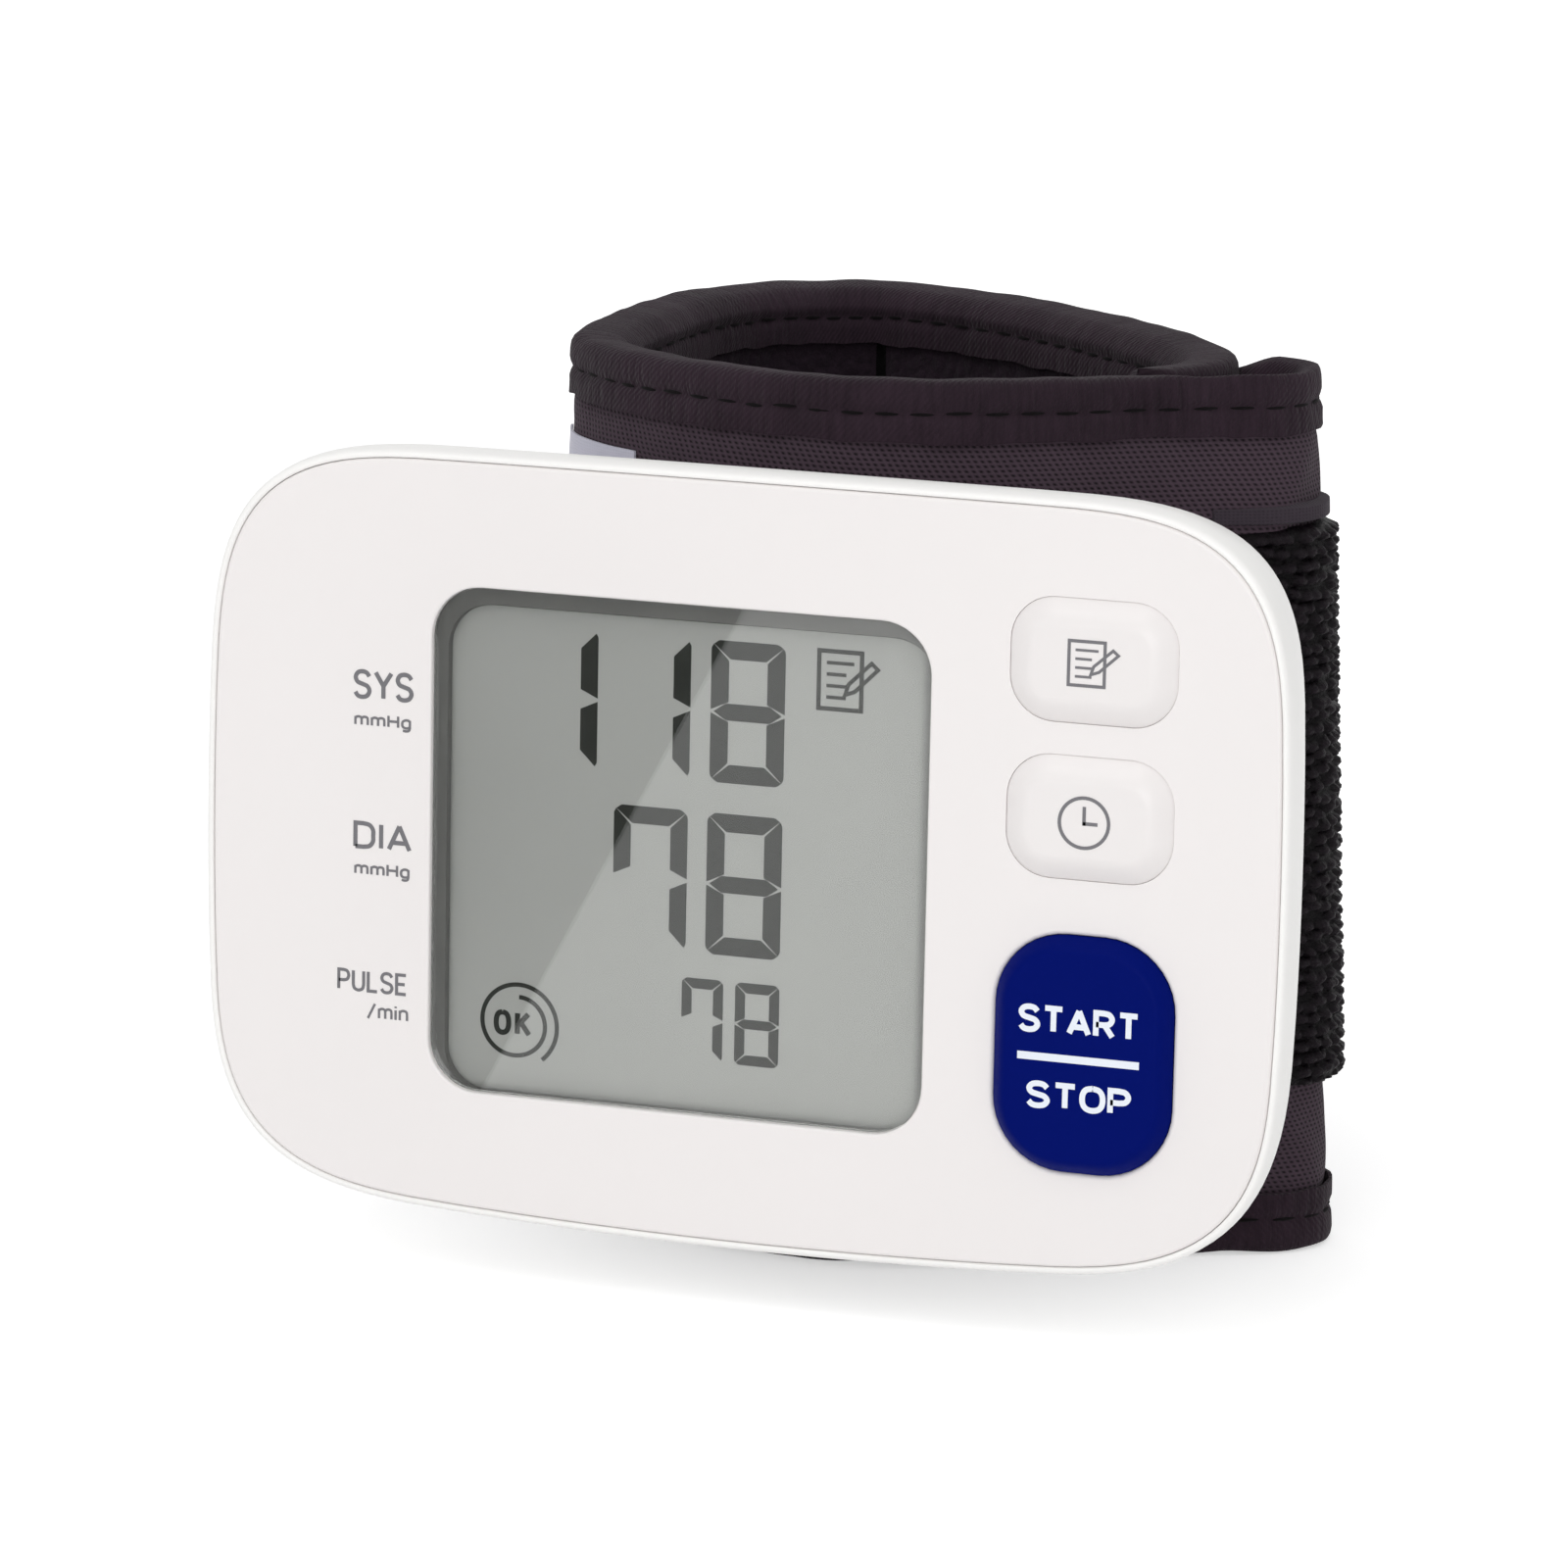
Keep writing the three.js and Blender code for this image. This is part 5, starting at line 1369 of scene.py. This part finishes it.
class MONITOR_OT_cuff_cloth(bpy.types.Operator):
    """Sews the cuff's outer twill and its brushed lining"""

    bl_idname = "monitor.cuff_cloth"
    bl_label = "Cuff Cover and Lining"

    def execute(self, context):
        cuff = context.scene.monitor_cuff
        hem, pucker = cuff.hem_width / MM, cuff.pucker / MM
        levels = [2.3, 3.0, *stations(hem - 1.2, CUFF_HEIGHT - hem + 1.2, 1.5)]
        levels += [CUFF_HEIGHT - 3.0, CUFF_HEIGHT - 2.3]
        high = len(levels)
        for wrap in WRAPS:
            side, spots = wrap[0], stations(*cloth_run(wrap), 1.25)
            wide = len(spots)
            pinned = [
                row * wide + column for row in range(high) for column in range(wide)
                if min(row, high - 1 - row) < 5 or column in (0, wide - 1)
            ]
            for name, inside, pressure, cap, finish, slot, nodes in (
                ("twill_cover", False, 3.0, 0.55, "twill", "cuff_twill", COVER_NODES[side]),
                ("brushed_lining", True, 2.0, 0.5, "fleece", "cuff_fleece",
                 [f"cuff_lining_{side}"]),
            ):
                sheet = sewn_sheet(
                    name, spots, levels, lambda a, z: self.layer(a, z, hem, pucker, inside),
                )
                turn_faces(sheet, lambda face: -outward(face) if inside else outward(face))
                swell(sheet, pinned, pressure, cap)
                use_modifier(sheet, "SOLIDIFY", thickness=0.5 * MM, offset=-1)
                use_modifier(sheet, "SUBSURF", levels=1, render_levels=1)
                finish_cloth(sheet, f"{name}_{side}", finish, slot, nodes)
        return {"FINISHED"}

    def layer(self, along, z, hem, pucker, inside):
        """The cover's or the lining's depth: puckered along its sewn edges, slack between them."""
        depth, near = band_depth(along), min(z, CUFF_HEIGHT - z) - hem
        sewn = math.exp(-max(near + 0.6, 0) / 3.5)
        size, seed = (2.4, 4) if inside else (2.6, 1)
        waves = wave(along, size, seed, z * 0.5) + 0.6 * wave(along, size / 2, seed + 1)
        waves *= pucker * sewn
        if inside:
            seam = 0.45 * math.exp(-(along - LINING_SEAM) ** 2)
            inward = depth - 0.6 - waves + 0.39 * wave(along, 9, 6, z) * (1 - sewn) - seam
        else:
            under_tape = 0.5 * (1 - ease(near, -1.2, 0.4))
            inward = 0.5 + under_tape + waves + 0.25 * (wave(along, 14, 3, z) - 1) * (1 - sewn)
        return depth / 2 + (inward - depth / 2) * end_round(along), z


class MONITOR_OT_hems(bpy.types.Operator):
    """Folds the tape over the cuff's two edges and sews it down"""

    bl_idname = "monitor.hems"
    bl_label = "Hems and Stitches"

    def execute(self, context):
        cuff = context.scene.monitor_cuff
        for wrap in WRAPS:
            side, start, end = wrap[:3]
            for edge, seed in (("top", 11), ("bottom", 23)):
                tape = self.tape(wrap, edge, seed, cuff)
                use_modifier(tape, "SOLIDIFY", thickness=0.3 * MM, offset=-1)
                nodes = [n.replace("cuff_cover", f"binding_{edge}") for n in COVER_NODES[side]]
                name = f"hem_tape_{edge}_{side}"
                finish_cloth(tape, name, "tape", "binding_tape", nodes)
            stitches = self.stitches(start + 1.5, end - 1.5, cuff)
            dress(stitches, f"hem_stitches_{side}", "thread", "binding_tape")
            bend_with_cuff(stitches)
        return {"FINISHED"}

    def profile(self, hem):
        """Outside leg, fold and inside leg, as shares of depth and drop from the edge. The fold is
        pinched to a ridge near the outside and slopes down to the inside."""
        backs = (0, 0.5, 1.1, 1.5, 1.9, 2.3, 2.7, 3.1)
        outside = [(0.0, hem - back) for back in backs] + [(0.0, 1.3)]
        fold = [
            (0.01, 0.8), (0.05, 0.35), (0.11, 0.09), (0.2, 0.0), (0.32, 0.03), (0.45, 0.1),
            (0.58, 0.19), (0.7, 0.3), (0.8, 0.6), (0.9, 1.1), (0.97, 1.6),
        ]
        return outside + fold + [(1.0, drop) for _, drop in reversed(outside[:-1])]

    def tape(self, wrap, edge, seed, cuff):
        hem, pucker = cuff.hem_width / MM, cuff.pucker / MM
        profile = self.profile(hem)
        steps = [
            math.hypot((b[0] - a[0]) * BAND_DEPTH, b[1] - a[1])
            for a, b in zip(profile, profile[1:])
        ]
        edge_z, way = (CUFF_HEIGHT, 1) if edge == "top" else (0, -1)

        def place(along, level):
            share, drop = level
            side = 1 if share < 0.5 else -1
            groove = 0.34 * math.exp(-((drop - (hem - 2.3)) / 0.4) ** 2)
            lift = 0.02 * ease(drop, hem - 0.8, hem)
            waves = 0.8 * wave(along, 3.1, seed + side, drop)
            waves += 0.5 * wave(along, 1.5, seed + side + 5)
            flat = 0.35 + 0.65 * ease(drop, 0.5, hem * 0.7) - 0.5 * ease(drop, hem - 1.6, hem - 0.8)
            middle = band_depth(along) / 2
            inward = share * 2 * middle + side * (groove - lift + pucker * waves * flat + 0.05)
            ripple = 0.21 * wave(along, 4.2, seed + 9) * ease(2.5 - drop, 0, 2.5)
            ragged = 0.3 * wave(along, 2.3, seed + 3) * ease(drop, hem - 0.6, hem)
            return (
                middle + (inward - middle) * max(end_round(along), 0.03),
                edge_z - way * (drop + 0.25 + ripple + ragged),
            )

        spots = stations(*cloth_run(wrap), 0.75)
        tape = sewn_sheet("tape", spots, profile, place, [0.0, *np.cumsum(steps)])
        return turn_faces(
            tape, lambda face: way * face.normal.z * (abs(face.center.z / MM - edge_z) < 0.8),
        )

    def stitches(self, start, end, cuff):
        """Short dashes of thread in four rows, uneven as a machine leaves them on thick cloth."""
        length, gap, width = cuff.stitch_length / MM, cuff.stitch_gap / MM, cuff.thread_width
        row = cuff.hem_width / MM - 2.05
        model = add_shape(
            "stitch", bpy.ops.mesh.primitive_uv_sphere_add, segments=8, ring_count=6, radius=0.5,
        )
        copies = []
        for z_line, outside in (
            (row, True), (row, False), (CUFF_HEIGHT - row, True), (CUFF_HEIGHT - row, False),
        ):
            along, count = start, 0
            while along + length < end:
                count += 1
                jitter = noise.noise((count * 1.7, z_line, 3.3 if outside else 8.1))
                run = length * (1 + 0.25 * jitter)
                p, q = (
                    band_point(a, 0.3 if outside else band_depth(a) - 0.3, z_line + lean * jitter)
                    for a, lean in ((along, 0.18), (along + run, 0.28))
                )
                direction, up = (q - p).normalized(), Vector((0, 0, 1))
                turn = Matrix((direction, direction.cross(up).normalized(), up)).transposed()
                size = Matrix.Diagonal(((q - p).length, width * 0.9, width, 1))
                copy = model.copy()
                copy.data = model.data.copy()
                bpy.context.scene.collection.objects.link(copy)
                copy.data.transform(Matrix.Translation((p + q) / 2) @ turn.to_4x4() @ size)
                copies.append(copy)
                along += run + gap * (1 + 0.3 * jitter)
        bpy.data.objects.remove(model)
        return joined(*copies)


class MONITOR_OT_loop_pad(bpy.types.Operator):
    """Makes the loop-pile pad on the cuff's tail and the smooth strip above it"""

    bl_idname = "monitor.loop_pad"
    bl_label = "Fastening Pad"

    def execute(self, context):
        loops = context.scene.monitor_cuff.loop_height / MM
        for name, start, foot, top, pitch, thick, height, finish, slot, node, angle, fill in (
            ("loop_pile_pad", PAD_FROM, PAD_FOOT, PAD_TOP, 0.27, 1.15, loops,
             "loops", "loop_pile", "loop_pad", 70, 0.3),
            ("pad_edge_strip", PAD_FROM + 1.3, PAD_TOP + 0.2, PAD_TOP + 1.9, 0.3, 0.85, 0.0,
             "selvedge", "binding_tape", "pad_selvedge", 60, 0.2),
        ):
            piece = self.strip(start, BAND_LENGTH + 0.2, foot, top, pitch, thick, height)
            dress(piece, name, finish, slot, "cuff_tail", [node], angle)
        return {"FINISHED"}

    def loop_crown(self, along, z):
        """How near a place is to the crown of a loop: 1 on it, 0 between loops. The loops stand in
        rows, each pushed a little aside and lying over."""
        best = 0.0
        row = math.floor(z / LOOP_HIGH)
        for r in (row - 1, row, row + 1):
            column = math.floor(along / LOOP_WIDE - 0.5 * (r % 2))
            for c in (column - 1, column, column + 1):
                place = Vector((c * 3.1, r * 2.7, 0.5))
                x = (c + 0.5 + 0.5 * (r % 2)) * LOOP_WIDE + 0.55 * noise.noise(place)
                y = (r + 0.5) * LOOP_HIGH + 0.5 * noise.noise(place + Vector((9.3, 4.1, 2.2)))
                lean = 0.9 * noise.noise(place + Vector((1.7, 8.4, 5.5)))
                a, b = along - x, z - y
                a, b = a + lean * b, b - lean * a
                best = max(best, 1 - (a / 0.72) ** 2 - (b / 0.46) ** 2)
        return math.sqrt(max(best, 0.0))

    def strip(self, start, end, foot, top, pitch, thick, loops):
        """A strip on the tail with rounded edges, and with loops of a given height or none."""
        reach = 0.9 if loops else 0.3
        crowns = []

        def place(along, z):
            edge = min(along - start, end - along, z - foot, top - z)
            rise = thick * math.sqrt(max(0.0, 1 - (1 - min(edge / reach, 1)) ** 2))
            crown = self.loop_crown(along, z) if loops else 0.0
            crowns.append(crown)
            if loops:
                rise += loops * (crown - 0.4) * min(edge / 0.4, 1)
                rise += 0.15 * noise.noise(Vector((along / 7, z / 7, 4)))
            return 0.35 - rise, z

        piece = sewn_sheet("strip", stations(start, end, pitch), stations(foot, top, pitch), place)
        if loops:
            layer = piece.data.attributes.new("crown", "FLOAT", "POINT")
            layer.data.foreach_set("value", crowns)
        turn_faces(piece, outward)
        return use_modifier(piece, "SOLIDIFY", thickness=0.3 * MM, offset=-1)


class MONITOR_OT_label(bpy.types.Operator):
    """Sews the plain satin label on the left of the cuff"""

    bl_idname = "monitor.label"
    bl_label = "Label"

    def execute(self, context):
        start, end, top = SEAM_AT + 0.4, SEAM_AT + 15.3, CUFF_HEIGHT - 8.3
        foot = top - 38
        spots, levels = stations(start, end, 0.7), stations(foot, top, 0.8)
        context.view_layer.update()
        below = [[self.cover_depth(along, z) for along in spots] for z in levels]

        def place(along, z):
            i, j = levels.index(z), spots.index(along)
            near = [
                depth for line in below[max(i - 1, 0):i + 2] for depth in line[max(j - 1, 0):j + 2]
            ]
            edge = min(along - start, end - along, z - foot, top - z)
            sewn = 0.1 * math.exp(-((edge - 1.2) / 0.4) ** 2)
            waves = 0.07 * wave(along, 6, 31, z) + 0.03 * wave(along, 2.2, 33, z)
            depth = (sum(near) / len(near) + min(near)) / 2
            return depth - 0.25 + sewn + waves * min(edge / 2, 1), z

        label = turn_faces(sewn_sheet("label", spots, levels, place), outward)
        use_modifier(label, "SOLIDIFY", thickness=0.2 * MM, offset=-1)
        dress(label, "satin_label", "label", "label_satin", "monitor", ["sewn_label"], 60)
        return {"FINISHED"}

    def cover_depth(self, along, z):
        """How deep the cuff's cover lies below the band's outer face at a place."""
        start, towards = band_point(along, -4, z), band_point(along, 4, z)
        run = (towards - start).normalized()
        depths = []
        for side in ("back", "front"):
            met, place, _, _ = bpy.data.objects[f"twill_cover_{side}"].ray_cast(start, run)
            if met:
                depths.append((place - start).length / MM - 4)
        return min(depths, default=0.0)


class MONITOR_OT_cells(bpy.types.Operator):
    """Makes the two cells with their rolled edges and raised contacts"""

    bl_idname = "monitor.cells"
    bl_label = "Cells"

    def execute(self, context):
        for index, x in enumerate(CELL_X):
            cell = add_shape(
                "cell", bpy.ops.mesh.primitive_cylinder_add, vertices=48, depth=CELL_LENGTH * MM,
                radius=CELL_RADIUS * MM, end_fill_type="NGON",
                location=at(x, CELL_Y, 0.5 if index == 0 else -0.5),
            )
            bpy.ops.object.transform_apply()
            up = 1 if index == 0 else -1
            self.shape_end(cell, up, 3.15, -0.4)
            self.shape_end(cell, up, 0.2, 1.6)
            self.shape_end(cell, -up, 1.3, -0.2)
            use_modifier(cell, "BEVEL", width=0.3 * MM, segments=3, limit_method="ANGLE")
            dress(
                cell, f"sleeved_cell_{index + 1}", "sleeve", "cell_sleeve", "monitor",
                [f"cell_{index + 1}"],
            )
        return {"FINISHED"}

    def shape_end(self, cell, up, inset, lift):
        """Insets the outermost end face and moves it in or out along the cell."""
        edit_all(cell)
        bpy.ops.mesh.select_all(action="DESELECT")
        bpy.ops.mesh.select_mode(type="FACE")
        mesh = bmesh.from_edit_mesh(cell.data)
        ends = [f for f in mesh.faces if f.normal.z * up > 0.9 and len(f.verts) > 8]
        smallest = min(ends, key=lambda f: f.calc_area())
        smallest.select = True
        bmesh.update_edit_mesh(cell.data)
        bpy.ops.mesh.inset(thickness=inset * MM)
        bpy.ops.mesh.extrude_region_move(TRANSFORM_OT_translate={"value": (0, 0, up * lift * MM)})
        bpy.ops.mesh.select_mode(type="VERT")
        leave_edit()


INNER_FINISHES = {
    "inner_plastic": ("display_holder", "pump_head", "pressure_sensor", "cuff_saddle"),
    "black_plastic": ("processor_chip", "buzzer", "air_manifold"),
    "steel": (
        "pump_motor", "pump_rotor", "valve_body", "battery_contact_top", "battery_contact_1",
        "battery_contact_2", "contact_spring_1", "contact_spring_2", "case_screw_1",
        "case_screw_2", "case_screw_3", "case_screw_4", "saddle_screw_1", "saddle_screw_2",
    ),
    "brass": ("valve_plunger",), "contact": ("display_contact_strip",),
    "keypad": ("keypad_mat",), "board": ("circuit_board",), "tube": ("pump_tube", "sensor_tube"),
    "curler": ("curler_back", "curler_front"), "bladder": ("bladder_back", "bladder_front"),
}
SHARP_NODES = (
    "display_holder", "circuit_board", "processor_chip", "air_manifold", "pressure_sensor",
    "battery_contact_top", "battery_contact_1", "battery_contact_2", "cuff_saddle",
)


class MONITOR_OT_inner_parts(bpy.types.Operator):
    """Gives the parts inside the case and the cuff their finishes and broken edges"""

    bl_idname = "monitor.inner_parts"
    bl_label = "Inner Parts"

    def execute(self, context):
        finishes = {name: finish for finish, names in INNER_FINISHES.items() for name in names}
        for name, finish in finishes.items():
            node = frame["nodes"][name]
            node.data.materials.clear()
            node.data.materials.append(MATERIALS[finish])
            if name in SHARP_NODES:
                bevel = node.modifiers.new("Broken edges", "BEVEL")
                bevel.width = 0.08 * MM
                bevel.segments = 2
                bevel.limit_method = "ANGLE"
        left = [
            n for n, node in frame["nodes"].items() if n not in finishes and not node.hide_render
        ]
        if left:
            raise RuntimeError(f"nodes without a finish: {sorted(left)}")
        return {"FINISHED"}


OPERATORS = (
    MONITOR_OT_stage, MONITOR_OT_case, MONITOR_OT_keys, MONITOR_OT_prints, MONITOR_OT_window,
    MONITOR_OT_cuff_cloth, MONITOR_OT_hems, MONITOR_OT_loop_pad, MONITOR_OT_label,
    MONITOR_OT_cells, MONITOR_OT_inner_parts,
)


class MONITOR_PT_panel(bpy.types.Panel):
    """Lists the sizes, colours and pieces of the monitor"""

    bl_label = "Wrist Monitor"
    bl_idname = "MONITOR_PT_panel"
    bl_space_type = "VIEW_3D"
    bl_region_type = "UI"
    bl_category = "Wrist Monitor"

    def draw(self, context):
        layout = self.layout
        for group in SETTINGS:
            box = layout.box()
            settings = getattr(context.scene, group)
            for name in settings.bl_rna.properties.keys():
                if name not in ("rna_type", "name"):
                    box.prop(settings, name)
        for operator in OPERATORS:
            layout.operator(operator.bl_idname)


SETTINGS = {
    "monitor_case": CaseSettings, "monitor_window": WindowSettings,
    "monitor_cuff": CuffSettings, "monitor_stage": StageSettings,
}


def register():
    for group in SETTINGS.values():
        bpy.utils.register_class(group)
    for name, group in SETTINGS.items():
        setattr(bpy.types.Scene, name, PointerProperty(type=group))
    for operator in (*OPERATORS, MONITOR_PT_panel):
        bpy.utils.register_class(operator)


def unregister():
    for operator in reversed((*OPERATORS, MONITOR_PT_panel)):
        bpy.utils.unregister_class(operator)
    for name in SETTINGS:
        delattr(bpy.types.Scene, name)
    for group in reversed(SETTINGS.values()):
        bpy.utils.unregister_class(group)


def main():
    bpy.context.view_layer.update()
    register()
    make_materials()
    for operator in OPERATORS:
        step = getattr(bpy.ops.monitor, operator.bl_idname.removeprefix("monitor."))
        if step() != {"FINISHED"}:
            raise RuntimeError(f"{operator.bl_label} was not finished")


if __name__ == "__main__":
    main()
